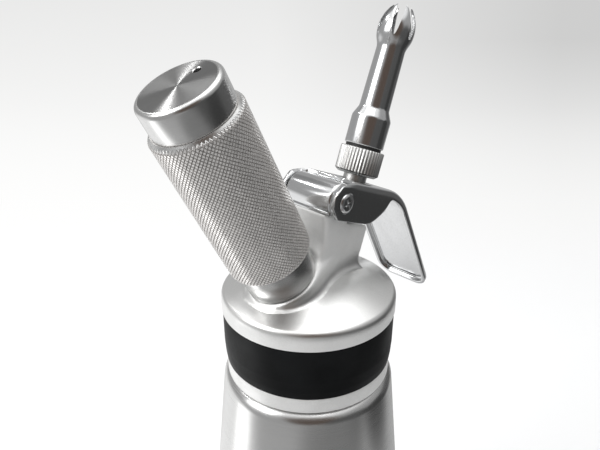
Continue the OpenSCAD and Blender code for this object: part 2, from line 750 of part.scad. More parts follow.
// Side view of the lever's sheet, in the valve's frame: a band as thick as the sheet.
bend_centre = [bend_start, lever_top - bend_r];
function bend_point(radius, angle) = [
    bend_centre.x + radius * sin(angle),
    bend_centre.y + radius * cos(angle)
];
function handle_point(along, depth) = [
    bend_point(bend_r, bend_angle).x + along * cos(bend_angle) - depth * sin(bend_angle),
    bend_point(bend_r, bend_angle).y - along * sin(bend_angle) - depth * cos(bend_angle)
];
bend_steps = 12;
module lever_band(depth) {
    polygon(concat(
        [[plate_start, lever_top - depth], [plate_start, lever_top], [bend_start, lever_top]],
        [for (i = [1:bend_steps]) bend_point(bend_r, bend_angle * i / bend_steps)],
        [handle_point(handle_len, 0), handle_point(handle_len, depth)],
        [for (i = [bend_steps:-1:1]) bend_point(bend_r - depth, bend_angle * i / bend_steps)],
        [[bend_start, lever_top - depth]]
    ));
}

// Side view of a cheek: a round nose about the pivot, then a belly that runs out at the bend.
cheek_low = -6;
cheek_nose_r = 6.4;
cheek_straight = 13.5;
belly_end = 31;
module cheek_side() {
    belly_steps = 8;
    polygon(concat(
        arc([0, 0], cheek_nose_r, 250, 145, 10),
        [[-3, lever_top], [belly_end, lever_top - 1.2]],
        [for (i = [belly_steps:-1:0]) let (part = i / belly_steps)
            [cheek_straight + (belly_end - cheek_straight) * part,
                cheek_low + (lever_top - 3.4 - cheek_low) * (1 - cos(180 * part)) / 2]]
    ));
}

// The handle's outline seen square on: straight sides with round lower corners.
module handle_outline(inset) {
    half = lever_outer_half - inset;
    corner = handle_corner - inset;
    translate([0, -half]) square([handle_len - handle_corner, 2 * half]);
    translate([0, -half + corner]) square([handle_len - inset, 2 * half - 2 * corner]);
    for (side = [-1, 1])
        translate([handle_len - handle_corner, side * (half - corner)]) circle(r = corner);
}

module lever() {
    foot = bend_point(bend_r, bend_angle);
    color("#c8cacc") on_valve() difference() {
        union() {
            // Top plate and bend.
            intersection() {
                translate([0, lever_outer_half, 0]) rotate([90, 0, 0])
                    linear_extrude(2 * lever_outer_half) lever_band(sheet_t);
                translate([-cut, -lever_outer_half - cut, -bend_r])
                    cube([foot.x + 2, 2 * (lever_outer_half + cut), 2 * bend_r]);
            }
            // Cheeks at both sides.
            for (side = [-1, 1])
                translate([0, side * (lever_inner_half + sheet_t / 2) + sheet_t / 2, 0])
                    rotate([90, 0, 0]) linear_extrude(sheet_t) cheek_side();
            // Handle: a shallow tray with turned-in edges.
            translate([foot.x, 0, foot.y]) rotate([0, bend_angle, 0]) difference() {
                translate([0, 0, -edge_depth]) linear_extrude(edge_depth) handle_outline(0);
                translate([-cut, 0, -edge_depth - cut]) linear_extrude(edge_depth - sheet_t + cut)
                    handle_outline(sheet_t);
            }
        }
        // Slot for the adapter's neck.
        for (reach = [slot_front, slot_back])
            translate([reach, 0, 0]) rod(slot_half, 0, lever_top + cut);
        translate([slot_front, -slot_half, 0]) cube([slot_back - slot_front, 2 * slot_half, 10]);
        // Pin holes, with a shallow seat for each screw's head.
        rotate([90, 0, 0]) rod(pivot_pin_r + press_gap, -20, 20);
        for (side = [-1, 1])
            rotate([90 * side, 0, 0]) rod(screw_head_r + 0.4, lever_outer_half - head_recess, 20);
    }
}

module guide_bush() {
    color("#e6e3da") on_stem() {
        ring(pocket_r - running_gap, stem_r + running_gap, pocket_floor + press_gap,
            pocket_floor + bush_flange_t);
        ring(bush_r, stem_r + running_gap, bush_bottom, pocket_floor + press_gap);
    }
}

module stem_o_rings() {
    centre_r = stem_r + running_gap + o_ring_r;
    color("#222426") on_stem() for (i = [0:1])
        translate([0, 0, gland_floor + o_ring_step * (i + 0.5)])
            rotate_extrude() translate([centre_r, 0]) circle(r = o_ring_r, $fn = 24);
}

// Route of the spring's wire: a straight end, the curls, and a straight end.
spring_low = pocket_floor + bush_flange_t + seat_gap;
spring_high = collar_bottom - seat_gap;
spring_mean_r = pocket_r - 0.35 - spring_wire / 2;
rings_per_curl = 8;
spring_steps = spring_curls * rings_per_curl;
function curl_point(step) = [
    spring_mean_r * cos(360 * step / rings_per_curl),
    spring_mean_r * sin(360 * step / rings_per_curl),
    spring_low + spring_wire + (spring_high - spring_low - 2 * spring_wire) * step / spring_steps
];
spring_path = concat(
    [[spring_mean_r, 0, spring_low]],
    [for (step = [0:spring_steps]) curl_point(step)],
    [[spring_mean_r, 0, spring_high]]
);
function unit(v) = v / norm(v);
function tangent(path, i) = unit(path[min(i + 1, len(path) - 1)] - path[max(i - 1, 0)]);
wire_sides = 6;
// One ring of points round the wire, square to its run.
function wire_ring(path, i) =
    let (
        along = (i == 0 || i == len(path) - 1) ? [0, 0, 1] : tangent(path, i),
        outward = unit([path[i].x, path[i].y, 0]),
        across = unit(cross(along, outward)),
        square_out = cross(across, along)
    )
    [for (side = [0:wire_sides - 1])
        let (angle = 360 * side / wire_sides)
        path[i] + spring_wire / 2 * (square_out * cos(angle) + across * sin(angle))];
spring_gap = min([
    for (i = [0:spring_steps - rings_per_curl + 2], j = [i + rings_per_curl - 2:spring_steps])
        norm(curl_point(j) - curl_point(i)) - spring_wire
]);
echo("least gap between the spring's curls", spring_gap);
module valve_spring() {
    count = len(spring_path);
    points = [for (i = [0:count - 1]) each wire_ring(spring_path, i)];
    sides = [
        for (i = [0:count - 2], s = [0:wire_sides - 1])
            let (
                a = i * wire_sides + s,
                b = i * wire_sides + (s + 1) % wire_sides,
                c = b + wire_sides,
                d = a + wire_sides
            )
            each [[a, d, c], [a, c, b]]
    ];
    last = (count - 1) * wire_sides;
    low_end = [for (s = [1:wire_sides - 2]) [0, s, s + 1]];
    high_end = [for (s = [1:wire_sides - 2]) [last, last + s + 1, last + s]];
    color("#b4b8bc") on_stem() polyhedron(points, concat(sides, low_end, high_end));
}

module valve_stem() {
    color("#c3c6c9") on_stem() difference() {
        rod(stem_r, stem_bottom, stem_top);
        rod(stem_bore_r, port_h - port_r - 0.5, stem_top + cut);
        translate([0, 0, port_h]) rotate([90, 0, 0]) rod(port_r, -10, 10);
    }
}

module push_collar() {
    color("#cdd0d2") on_stem() difference() {
        rotate_extrude() polygon([
            [0, collar_bottom], [collar_push_r - 0.6, collar_bottom], [collar_push_r, collar_bottom + 0.6],
            [collar_push_r, collar_top - 0.5], [collar_push_r - 0.5, collar_top], [0, collar_top]]);
        rod(stem_r + press_gap, collar_bottom - cut, collar_top + cut);
    }
}

module valve_seal() {
    color("#2b2d30") on_stem() ring(valve_seal_r, stem_r + press_gap, seal_bottom, seal_top);
}

module valve_nut() {
    color("#bfc2c5") on_stem() difference() {
        translate([0, 0, seal_bottom - valve_nut_t])
            cylinder(r = valve_seal_r - 0.4, h = valve_nut_t - press_gap, $fn = 6);
        rod(stem_r + press_gap, seal_bottom - valve_nut_t - cut, seal_bottom + cut);
    }
}

module adapter_ring() {
    bevel = 1.3;
    top_bevel = 0.4;
    color("#b3b4b4") on_stem() difference() {
        union() {
            rod(adapter_neck_r, collar_top + press_gap, ring_bottom + cut);
            rotate_extrude() polygon([
                [0, ring_bottom], [ring_r - bevel, ring_bottom], [ring_r, ring_bottom + bevel * 0.8],
                [ring_r, ring_top - top_bevel], [ring_r - top_bevel, ring_top], [0, ring_top]]);
            rod(spigot_r, ring_top - cut, spigot_top);
        }
        rod(stem_r + press_gap, collar_top - cut, stem_top + press_gap);
        rod(stem_bore_r, stem_top - cut, spigot_top + cut);
        for (i = [0:flute_count - 1])
            rotate([0, 0, 360 * i / flute_count]) translate([ring_r + 0.1, 0, 0])
                rod(flute_r, ring_bottom - cut, ring_top + cut);
    }
}

module nozzle_washer() {
    color("#1c1d1f") on_stem()
        ring(nozzle_base_r - 0.6, spigot_r + running_gap, ring_top + seat_gap,
            ring_top + seat_gap + nozzle_seal_t);
}

// The nozzle's outline, drawn in by an inset to give its inner wall.
slope_low = nozzle_foot + nozzle_base_len;
slope_high = slope_low + nozzle_slope_len;
crown_low = slope_high + shaft_len;
crown_steps = 10;
// Radius of the crown's outside at a height above the shaft.
function crown_radius(height) =
    height < crown_wide_h
    ? shaft_top_r + (crown_r - shaft_top_r) * sin(90 * height / crown_wide_h)
    : crown_r - (crown_r - crown_tip_r) * pow((height - crown_wide_h) / (crown_h - crown_wide_h), 2);
function nozzle_outline(inset) = concat(
    [[nozzle_base_r - inset, slope_low], [shaft_r - inset, slope_high], [shaft_top_r - inset, crown_low]],
    [for (i = [1:crown_steps])
        let (height = crown_h * i / crown_steps)
        [crown_radius(height) - inset, crown_low + height]]
);

module nozzle_tip() {
    slot_foot = crown_low + crown_wide_h * 0.6;
    slot_h = crown_h - crown_wide_h * 0.6;
    color("#a7a7a8") on_stem() difference() {
        rotate_extrude() polygon(concat(
            [[0, nozzle_foot], [nozzle_base_r - 0.4, nozzle_foot], [nozzle_base_r, nozzle_foot + 0.4]],
            nozzle_outline(0),
            [[0, crown_low + crown_h]]
        ));
        rod(spigot_r + running_gap, nozzle_foot - cut, slope_low - 2);
        rotate_extrude() polygon(concat(
            [[0, slope_low - 2 - cut], [shaft_r - nozzle_wall, slope_low - 2 - cut]],
            [for (point = nozzle_outline(nozzle_wall)) if (point.y > slope_low) point],
            [[0, crown_low + crown_h]]
        ));
        // Slots between the crown's points, widening to the tip.
        for (i = [0:crown_points - 1])
            rotate([0, 0, 360 * (i + 0.5) / crown_points])
                translate([0, 0, slot_foot]) rotate([90, 0, 90]) linear_extrude(2 * crown_r)
                polygon([[-0.3, 0], [0.3, 0], [1.5, slot_h + cut], [-1.5, slot_h + cut]]);
    }
}

bottle();
neck_ring();
head_casting();
grip_band();
head_gasket();
charger_stud();
piercing_pin();
pin_seal();
check_valve();
gas_charger();
holder_tube();
knurled_sleeve();
pivot_barrel();
pivot_pin();
pivot_screws();
pivot_washers();
lever();
guide_bush();
stem_o_rings();
valve_spring();
valve_stem();
push_collar();
valve_seal();
valve_nut();
adapter_ring();
nozzle_washer();
nozzle_tip();
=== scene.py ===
"""Looks of a whipped cream dispenser: steel bottle, leaning charger holder, lever valve and tulip nozzle."""

import math

import bmesh
import bpy
from mathutils import Matrix, Vector


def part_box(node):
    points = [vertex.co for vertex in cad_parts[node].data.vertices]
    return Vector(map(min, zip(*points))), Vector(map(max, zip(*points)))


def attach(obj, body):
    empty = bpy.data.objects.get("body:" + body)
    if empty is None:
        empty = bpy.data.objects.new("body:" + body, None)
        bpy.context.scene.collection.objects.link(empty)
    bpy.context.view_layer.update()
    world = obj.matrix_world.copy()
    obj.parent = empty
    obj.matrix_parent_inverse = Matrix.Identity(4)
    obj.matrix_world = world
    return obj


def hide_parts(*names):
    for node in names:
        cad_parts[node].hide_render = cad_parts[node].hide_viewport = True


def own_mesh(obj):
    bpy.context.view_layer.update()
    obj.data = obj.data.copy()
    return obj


bl_info = {
    "name": "Whipped cream dispenser",
    "version": (1, 0, 0),
    "blender": (4, 5, 0),
    "location": "View3D > Sidebar > Dispenser",
    "description": "Builds the visible pieces and finishes of a whipped cream dispenser",
    "category": "Object",
}

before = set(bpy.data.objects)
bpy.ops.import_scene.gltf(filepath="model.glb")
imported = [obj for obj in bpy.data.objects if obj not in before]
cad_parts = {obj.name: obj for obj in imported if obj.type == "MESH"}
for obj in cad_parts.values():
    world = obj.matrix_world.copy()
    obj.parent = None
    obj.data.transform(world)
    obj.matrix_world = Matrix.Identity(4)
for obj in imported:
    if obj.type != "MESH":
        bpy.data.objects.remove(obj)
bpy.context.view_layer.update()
MM = 0.001
WHOLE, HALF, QUARTER = 2 * math.pi, math.pi, math.pi / 2

# Places of the frames that the pieces are built in, as in the CAD source.
BAND_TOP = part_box("grip_band")[1].z + 0.00002
HOLDER_FOOT = Vector((-0.0133, 0, BAND_TOP + 0.016))
PIVOT = Vector((0.00484, 0, BAND_TOP + 0.0395))
HOLDER_LEAN = math.radians(27.3)
VALVE_LEAN = math.radians(21.6)
STEM_REACH = 16.9
AS_IT_IS = Matrix.Identity(4)
ON_HEAD = Matrix.Translation((0, 0, BAND_TOP))
ON_HOLDER = Matrix.Translation(HOLDER_FOOT) @ Matrix.Rotation(-HOLDER_LEAN, 4, "Y")
ON_VALVE = Matrix.Translation(PIVOT) @ Matrix.Rotation(VALVE_LEAN, 4, "Y")
ON_STEM = ON_VALVE @ Matrix.Translation((STEM_REACH * MM, 0, 0))
ACROSS = Matrix.Translation(PIVOT) @ Matrix.Rotation(QUARTER, 4, "X")


# ---------------------------------------------------------------- sizes and colours

def length(name, description, default):
    return bpy.props.FloatProperty(
        name=name, description=description, default=default, min=0, unit="LENGTH", precision=5)


def colour(name, description, default):
    return bpy.props.FloatVectorProperty(
        name=name, description=description, default=default, min=0, max=1, size=3, subtype="COLOR")


def share(name, description, default):
    return bpy.props.FloatProperty(
        name=name, description=description, default=default, min=0, max=1, subtype="FACTOR")


class DispenserSizes(bpy.types.PropertyGroup):
    """Sizes of the fine forms that the CAD solids leave plain"""

    knurl_pitch: length("Knurl pitch", "Distance between the knurl's grooves round the grip", 0.00117)
    knurl_depth: length("Knurl depth", "Depth of the knurl's grooves", 0.00036)
    knurl_height: length("Knurl diamond height", "Height of one diamond along the grip", 0.00142)
    cheek_round: length("Cheek rounding", "Outer radius between the lever's plate and its cheeks", 0.0026)
    edge_round: length("Edge rounding", "Rounding of the lever's sheet edges", 0.0003)
    cast_round: length("Cast fillet", "Voxel size that the casting's blends are smoothed at", 0.0005)
    spring_wire: length("Spring wire", "Wire diameter of the valve's spring", 0.0009)
    barrel_round: length("Barrel edge", "Rounding of the pivot barrel's ends", 0.0013)


class DispenserColours(bpy.types.PropertyGroup):
    """Colours and roughness of the finishes"""

    steel: colour("Brushed steel", "Bottle and tube", (0.62, 0.62, 0.615))
    aluminium: colour("Blasted aluminium", "Cast head", (0.80, 0.80, 0.79))
    knurl: colour("Knurled steel", "Grip of the charger holder", (0.66, 0.645, 0.63))
    chrome: colour("Chrome", "Lever, barrel and nozzle", (0.66, 0.665, 0.67))
    fluted: colour("Satin chrome", "Fluted ring under the nozzle", (0.60, 0.60, 0.59))
    silicone: colour("Black silicone", "Grip band", (0.006, 0.0065, 0.007))
    cast_roughness: share("Cast roughness", "Roughness of the blasted aluminium", 0.36)
    chrome_roughness: share("Chrome roughness", "Roughness of the chromed pieces", 0.10)


def colours():
    return bpy.context.scene.dispenser_colours


def sizes():
    return bpy.context.scene.dispenser_sizes


# ---------------------------------------------------------------- mesh helpers

def link(obj):
    bpy.context.scene.collection.objects.link(obj)
    return obj


def verts_of(geometry):
    return [v for v in geometry if isinstance(v, bmesh.types.BMVert)]


def edges_of(geometry):
    return [e for e in geometry if isinstance(e, bmesh.types.BMEdge)]


def everything(bm):
    return list(bm.verts) + list(bm.edges) + list(bm.faces)


def arc(centre, radius, start, end, steps):
    """Points on an arc between two angles, both ends included."""
    return [(centre[0] + radius * math.cos(a), centre[1] + radius * math.sin(a))
            for a in (start + (end - start) * k / steps for k in range(steps + 1))]


def rounded(points, steps=4):
    """Turns (r, z, radius) corners of an outline into points, with an arc at each corner that has a radius."""
    out = []
    count = len(points)
    for i, (x, y, radius) in enumerate(points):
        here = Vector((x, y))
        if not radius or i in (0, count - 1):
            out.append(here)
            continue
        before = (Vector(points[i - 1][:2]) - here).normalized()
        after = (Vector(points[i + 1][:2]) - here).normalized()
        half = before.angle(after) / 2
        centre = here + (before + after).normalized() * (radius / math.sin(half))
        start = here + before * (radius / math.tan(half)) - centre
        turn = HALF - 2 * half
        if before.cross(after) > 0:
            turn = -turn
        for k in range(steps + 1):
            a = turn * k / steps
            out.append(centre + Vector((start.x * math.cos(a) - start.y * math.sin(a),
                                        start.x * math.sin(a) + start.y * math.cos(a))))
    return [(max(p.x, 0.0), p.y) for p in out]


def lathe(bm, outline, steps, closed=False):
    """Spins an outline of (radius, height) points round Z into bm, in millimetres."""
    before = set(bm.faces)
    verts = [bm.verts.new((r, 0, z)) for r, z in outline]
    edges = [bm.edges.new(pair) for pair in zip(verts, verts[1:])]
    if closed:
        edges.append(bm.edges.new((verts[-1], verts[0])))
    bmesh.ops.spin(bm, geom=verts + edges, cent=(0, 0, 0), axis=(0, 0, 1), dvec=(0, 0, 0),
                   angle=WHOLE, steps=steps, use_merge=True, use_duplicate=False)
    new = [f for f in bm.faces if f not in before]
    bmesh.ops.remove_doubles(bm, verts=list({v for f in new for v in f.verts}), dist=1e-4)
    bmesh.ops.recalc_face_normals(bm, faces=[f for f in bm.faces if f not in before])


def prism(bm, outline, low, high):
    """Extrudes a closed outline of (x, y) points between two heights."""
    before = set(bm.faces)
    face = bm.faces.new([bm.verts.new((x, y, low)) for x, y in outline])
    grown = bmesh.ops.extrude_face_region(bm, geom=[face], use_keep_orig=True)
    bmesh.ops.translate(bm, vec=(0, 0, high - low), verts=verts_of(grown["geom"]))
    bmesh.ops.recalc_face_normals(bm, faces=[f for f in bm.faces if f not in before])


def block(size, centre=(0, 0, 0)):
    """A new mesh with one box of a size round a centre."""
    bm = bmesh.new()
    made = bmesh.ops.create_cube(bm, size=1)["verts"]
    bmesh.ops.scale(bm, vec=size, verts=made)
    bmesh.ops.translate(bm, vec=centre, verts=made)
    return bm


def smooth(bm, verts):
    bmesh.ops.smooth_vert(bm, verts=verts, factor=0.5, use_axis_x=True, use_axis_y=True, use_axis_z=True)


def mark_sharp(bm, degrees):
    """Smooth faces, with edges past an angle kept crisp."""
    limit = math.radians(degrees)
    for f in bm.faces:
        f.smooth = True
    for e in bm.edges:
        e.smooth = not (len(e.link_faces) == 2 and e.calc_face_angle(0) > limit)


def mesh_from(bm, name):
    mesh = bpy.data.meshes.new(name)
    bm.to_mesh(mesh)
    bm.free()
    return mesh


def object_from(bm, name, place, sharp=35):
    """Makes an object at the origin from a mesh in millimetres, set in its place."""
    bmesh.ops.transform(bm, matrix=place @ Matrix.Scale(MM, 4), verts=bm.verts)
    mark_sharp(bm, sharp)
    return link(bpy.data.objects.new(name, mesh_from(bm, name)))


def join(obj, *others):
    """Adds other objects' meshes to a piece and removes them."""
    bm = bmesh.new()
    for part in (obj, *others):
        bm.from_mesh(part.data)
    bm.to_mesh(obj.data)
    bm.free()
    for part in others:
        bpy.data.meshes.remove(part.data)
    return obj


def settle(obj, sharp=35):
    """Turns a piece's live modifiers into its mesh and marks its crisp edges again."""
    shown = obj.evaluated_get(bpy.context.evaluated_depsgraph_get())
    bm = bmesh.new()
    bm.from_mesh(shown.to_mesh())
    shown.to_mesh_clear()
    obj.modifiers.clear()
    mark_sharp(bm, sharp)
    bm.to_mesh(obj.data)
    bm.free()


def carve(obj, cutter, sharp=35):
    """Cuts one object out of another and removes the cutter."""
    cut = obj.modifiers.new("cut", "BOOLEAN")
    cut.operation = "DIFFERENCE"
    cut.solver = "EXACT"
    cut.object = cutter
    settle(obj, sharp)
    bpy.data.meshes.remove(cutter.data)


def soften(obj, width, angle):
    """Rounds a piece's crisp edges by two segments."""
    bevel = obj.modifiers.new("edges", "BEVEL")
    bevel.width = width
    bevel.segments = 2
    bevel.limit_method = "ANGLE"
    bevel.angle_limit = math.radians(angle)
    bevel.use_clamp_overlap = True
    settle(obj)


def dress(obj, body, slot, material, *nodes):
    """Gives a piece its material, body and the CAD nodes that it stands for; the slot argument is not used."""
    obj.data.materials.clear()
    obj.data.materials.append(material)
    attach(obj, body)
    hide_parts(*nodes)


# ---------------------------------------------------------------- finishes

class Nodes:
    """A short way to add and join shader nodes in one tree."""

    def __init__(self, tree):
        self.tree = tree

    def feed(self, socket, value):
        """Joins a socket to another node's output, or sets its constant."""
        if isinstance(value, bpy.types.NodeSocket):
            self.tree.links.new(value, socket)
        else:
            socket.default_value = value

    def add(self, kind, inputs=None, **settings):
        node = self.tree.nodes.new("ShaderNode" + kind)
        for key, value in settings.items():
            setattr(node, key, value)
        for key, value in (inputs or {}).items():
            self.feed(node.inputs[key], value)
        return node

    def math(self, operation, a, b=0.0, clamp=False):
        return self.add("Math", {0: a, 1: b}, operation=operation, use_clamp=clamp).outputs[0]

    def vector(self, operation, a, b=(0, 0, 0)):
        node = self.add("VectorMath", {0: a, 1: b}, operation=operation)
        return node.outputs["Value"] if operation in ("DOT_PRODUCT", "LENGTH") else node.outputs[0]

    def blend(self, factor, a, b):
        return self.add("Mix", {0: factor, 6: a, 7: b}, data_type="RGBA").outputs[2]

    def ramp(self, value, low, high, to_low=0.0, to_high=1.0, kind="LINEAR"):
        return self.add("MapRange", {"Value": value, "From Min": low, "From Max": high, "To Min": to_low,
                                     "To Max": to_high}, interpolation_type=kind).outputs[0]

    def span(self, value, low, high):
        return self.ramp(value, low, high, kind="SMOOTHSTEP")

    def noise(self, at, scale=1.0, detail=2.0, roughness=0.5):
        return self.add("TexNoise", {"Vector": at, "Scale": scale, "Detail": detail,
                                     "Roughness": roughness}).outputs[0]

    def light(self, colour_of, strength=1.0, kind="Emission"):
        return self.add(kind, {"Color": colour_of, "Strength": strength}).outputs[0]

    def mix(self, factor, a, b):
        return self.add("MixShader", {0: factor, 1: a, 2: b}).outputs[0]

    def mirrored(self, rays):
        """One where a ray comes from a mirror or through glass."""
        return self.math("ADD", rays["Is Glossy Ray"], rays["Is Transmission Ray"], True)


def effect(name, numbers, toned):
    """An empty node group with its inputs and outputs; a toned one also blends a dark and a light colour."""
    group = bpy.data.node_groups.new(name, "ShaderNodeTree")
    tones = ["Dark", "Light"] if toned else []
    given = [("Vector", "Vector", None)] + [(label, "Color", None) for label in tones]
    for label, kind, value in given + [(label, "Float", value) for label, value in numbers.items()]:
        socket = group.interface.new_socket(name=label, in_out="INPUT", socket_type="NodeSocket" + kind)
        if value is not None:
            socket.default_value = value
    for label in (["Color"] if toned else []) + ["Roughness", "Height"]:
        kind = "NodeSocketColor" if label == "Color" else "NodeSocketFloat"
        group.interface.new_socket(name=label, in_out="OUTPUT", socket_type=kind)
    return Nodes(group), group.nodes.new("NodeGroupInput").outputs, group.nodes.new("NodeGroupOutput").inputs


def close_effect(n, given, out, height, change, tone=None):
    """Joins a group's outputs: tone to colour, and the spread of the roughness by a change round zero."""
    if tone is not None:
        n.feed(out["Color"], n.blend(tone, given["Dark"], given["Light"]))
    n.feed(out["Roughness"], n.math("ADD", given["Roughness"], n.math("MULTIPLY", change, given["Spread"]), True))
    n.feed(out["Height"], height)
    return n.tree


def drawn_grain():
    """Streaks of a brushed or drawn finish: noise in a stretched frame that the caller gives."""
    n, given, out = effect("drawn grain", {"Roughness": 0.25, "Spread": 0.1}, True)
    streak = n.noise(given["Vector"], detail=3.0, roughness=0.6)
    wide = n.noise(n.vector("MULTIPLY", given["Vector"], (0.11, 0.11, 0.11)))
    tone = n.span(n.math("ADD", n.math("MULTIPLY", streak, 0.65), n.math("MULTIPLY", wide, 0.35)), 0.32, 0.68)
    return close_effect(n, given, out, streak, n.math("SUBTRACT", 0.5, tone), tone)


def blasted_skin():
    """A fine pebbled skin with soft cloudy tone, as on blasted aluminium or moulded silicone."""
    n, given, out = effect("blasted skin", {"Pebble": 2500.0, "Roughness": 0.35, "Spread": 0.1}, True)
    pebble = n.noise(given["Vector"], given["Pebble"])
    cloud = n.noise(given["Vector"], 70.0, 4.0, 0.55)
    tone = n.span(n.math("ADD", n.math("MULTIPLY", cloud, 0.75), n.math("MULTIPLY", pebble, 0.25)), 0.35, 0.65)
    return close_effect(n, given, out, pebble, n.math("SUBTRACT", 0.5, tone), tone)


def lathe_marks():
    """Rings round an axis from turning: radius bands with a little wander."""
    n, given, out = effect("lathe marks", {"Pitch": 0.0002, "Roughness": 0.2, "Spread": 0.08}, False)
    radius = n.vector("LENGTH", n.vector("MULTIPLY", given["Vector"], (1, 1, 0)))
    rings = n.math("DIVIDE", radius, given["Pitch"])
    wander = n.add("TexNoise", {"W": rings, "Scale": 1.0, "Detail": 2.0}, noise_dimensions="1D").outputs[0]
    return close_effect(n, given, out, wander, n.math("SUBTRACT", wander, 0.5))


EFFECTS = {}


def tinted(base, factor):
    return tuple(min(1.0, c * factor) for c in base[:3]) + (1.0,)


def finish(name, base, roughness, frame_of=None, stretch=(1, 1, 1), contrast=0.05, spread=0.08, bump=0.05,
           height=0.00001, metallic=1.0, effect_name="drawn grain", pebble=None, anisotropic=0.0):
    """One procedural material: a shared effect in the piece's own frame drives colour, roughness and bump."""
    material = bpy.data.materials.new(name)
    material.use_nodes = True
    n = Nodes(material.node_tree)
    shader = material.node_tree.nodes["Principled BSDF"].inputs
    shader["Metallic"].default_value = metallic
    shader["Anisotropic"].default_value = anisotropic
    own = n.add("TexCoord").outputs["Object"]
    if frame_of is not None:
        away = frame_of.inverted()
        own = n.add("Mapping", {"Vector": own, "Location": away.to_translation(),
                                "Rotation": away.to_euler()}).outputs[0]
    group = n.add("Group", node_tree=EFFECTS[effect_name])
    n.feed(group.inputs["Vector"], n.vector("MULTIPLY", own, stretch))
    group.inputs["Dark"].default_value = tinted(base, 1 - contrast)
    group.inputs["Light"].default_value = tinted(base, 1 + contrast)
    group.inputs["Roughness"].default_value = roughness
    group.inputs["Spread"].default_value = spread
    if pebble is not None:
        group.inputs["Pebble"].default_value = pebble
    n.feed(shader["Base Color"], group.outputs["Color"])
    n.feed(shader["Roughness"], group.outputs["Roughness"])
    if bump:
        n.feed(shader["Normal"], n.add("Bump", {"Height": group.outputs["Height"], "Strength": bump,
                                                "Distance": height}).outputs[0])
    if anisotropic:
        # Marks run round the piece's axis, so a highlight is drawn out across them.
        shader["Anisotropic Rotation"].default_value = 0.25
        around = n.vector("CROSS_PRODUCT", (0, 0, 1), n.vector("MULTIPLY", own, (1, 1, 0)))
        if frame_of is not None:
            around = n.add("Mapping", {"Vector": around, "Rotation": frame_of.to_euler()},
                           vector_type="VECTOR").outputs[0]
        n.feed(shader["Tangent"], around)
    return material


# ---------------------------------------------------------------- stage

# The room that metal mirrors. Each patch has an azimuth from the camera's side (to the right is positive), an
# elevation, the cosines where it starts and is full, and its tone as red, green and blue.
ROOM_SIDE, ROOM_HEIGHT = -136.2, 0.20
WALL, CEILING, TABLE = 0.44, 1.1, 0.54
BROWN_SHADE = (0.115, 0.085, 0.070, 1)
ROOM = (
    (-112, -38, 0.72, 0.90, 1.15),
    (-160, -35, 0.88, 0.97, 0.95),
    (6, 22, 0.78, 0.93, BROWN_SHADE),
    (50, -8, 0.80, 0.92, 0.10),
    (95, -15, 0.85, 0.93, 0.05),
    (25, -42, 0.82, 0.97, 0.27),
    (-74, 25, 0.970, 0.990, 1.3),
    (122, 0, 0.90, 0.97, 0.12),
    (-145, 46, 0.955, 0.985, 0.30),
    (-84, -36, 0.978, 0.993, 2.2),
    (-84, -52, 0.978, 0.993, 2.2),
    (168, 8, 0.93, 0.99, 0.58),
    (-2, -66, 0.95, 0.99, 0.60),
)


def grey(tone):
    return tone if isinstance(tone, tuple) else (tone, tone, tone, 1)


def room_tone(n, direction):
    """Colour of the room in a direction: wall, ceiling and table, with soft boxes and dark sides over them."""
    up = n.vector("DOT_PRODUCT", direction, (0, 0, 1))
    tone = n.blend(n.span(up, 0.64, 0.80), grey(WALL), grey(CEILING))
    tone = n.blend(n.span(up, -0.62, -0.40), grey(TABLE), tone)
    for azimuth, elevation, start, full, shade in ROOM:
        around, high = math.radians(ROOM_SIDE + azimuth), math.radians(elevation)
        middle = (math.cos(high) * math.cos(around), math.cos(high) * math.sin(around), math.sin(high))
        tone = n.blend(n.span(n.vector("DOT_PRODUCT", direction, middle), start, full), tone, grey(shade))
    return tone


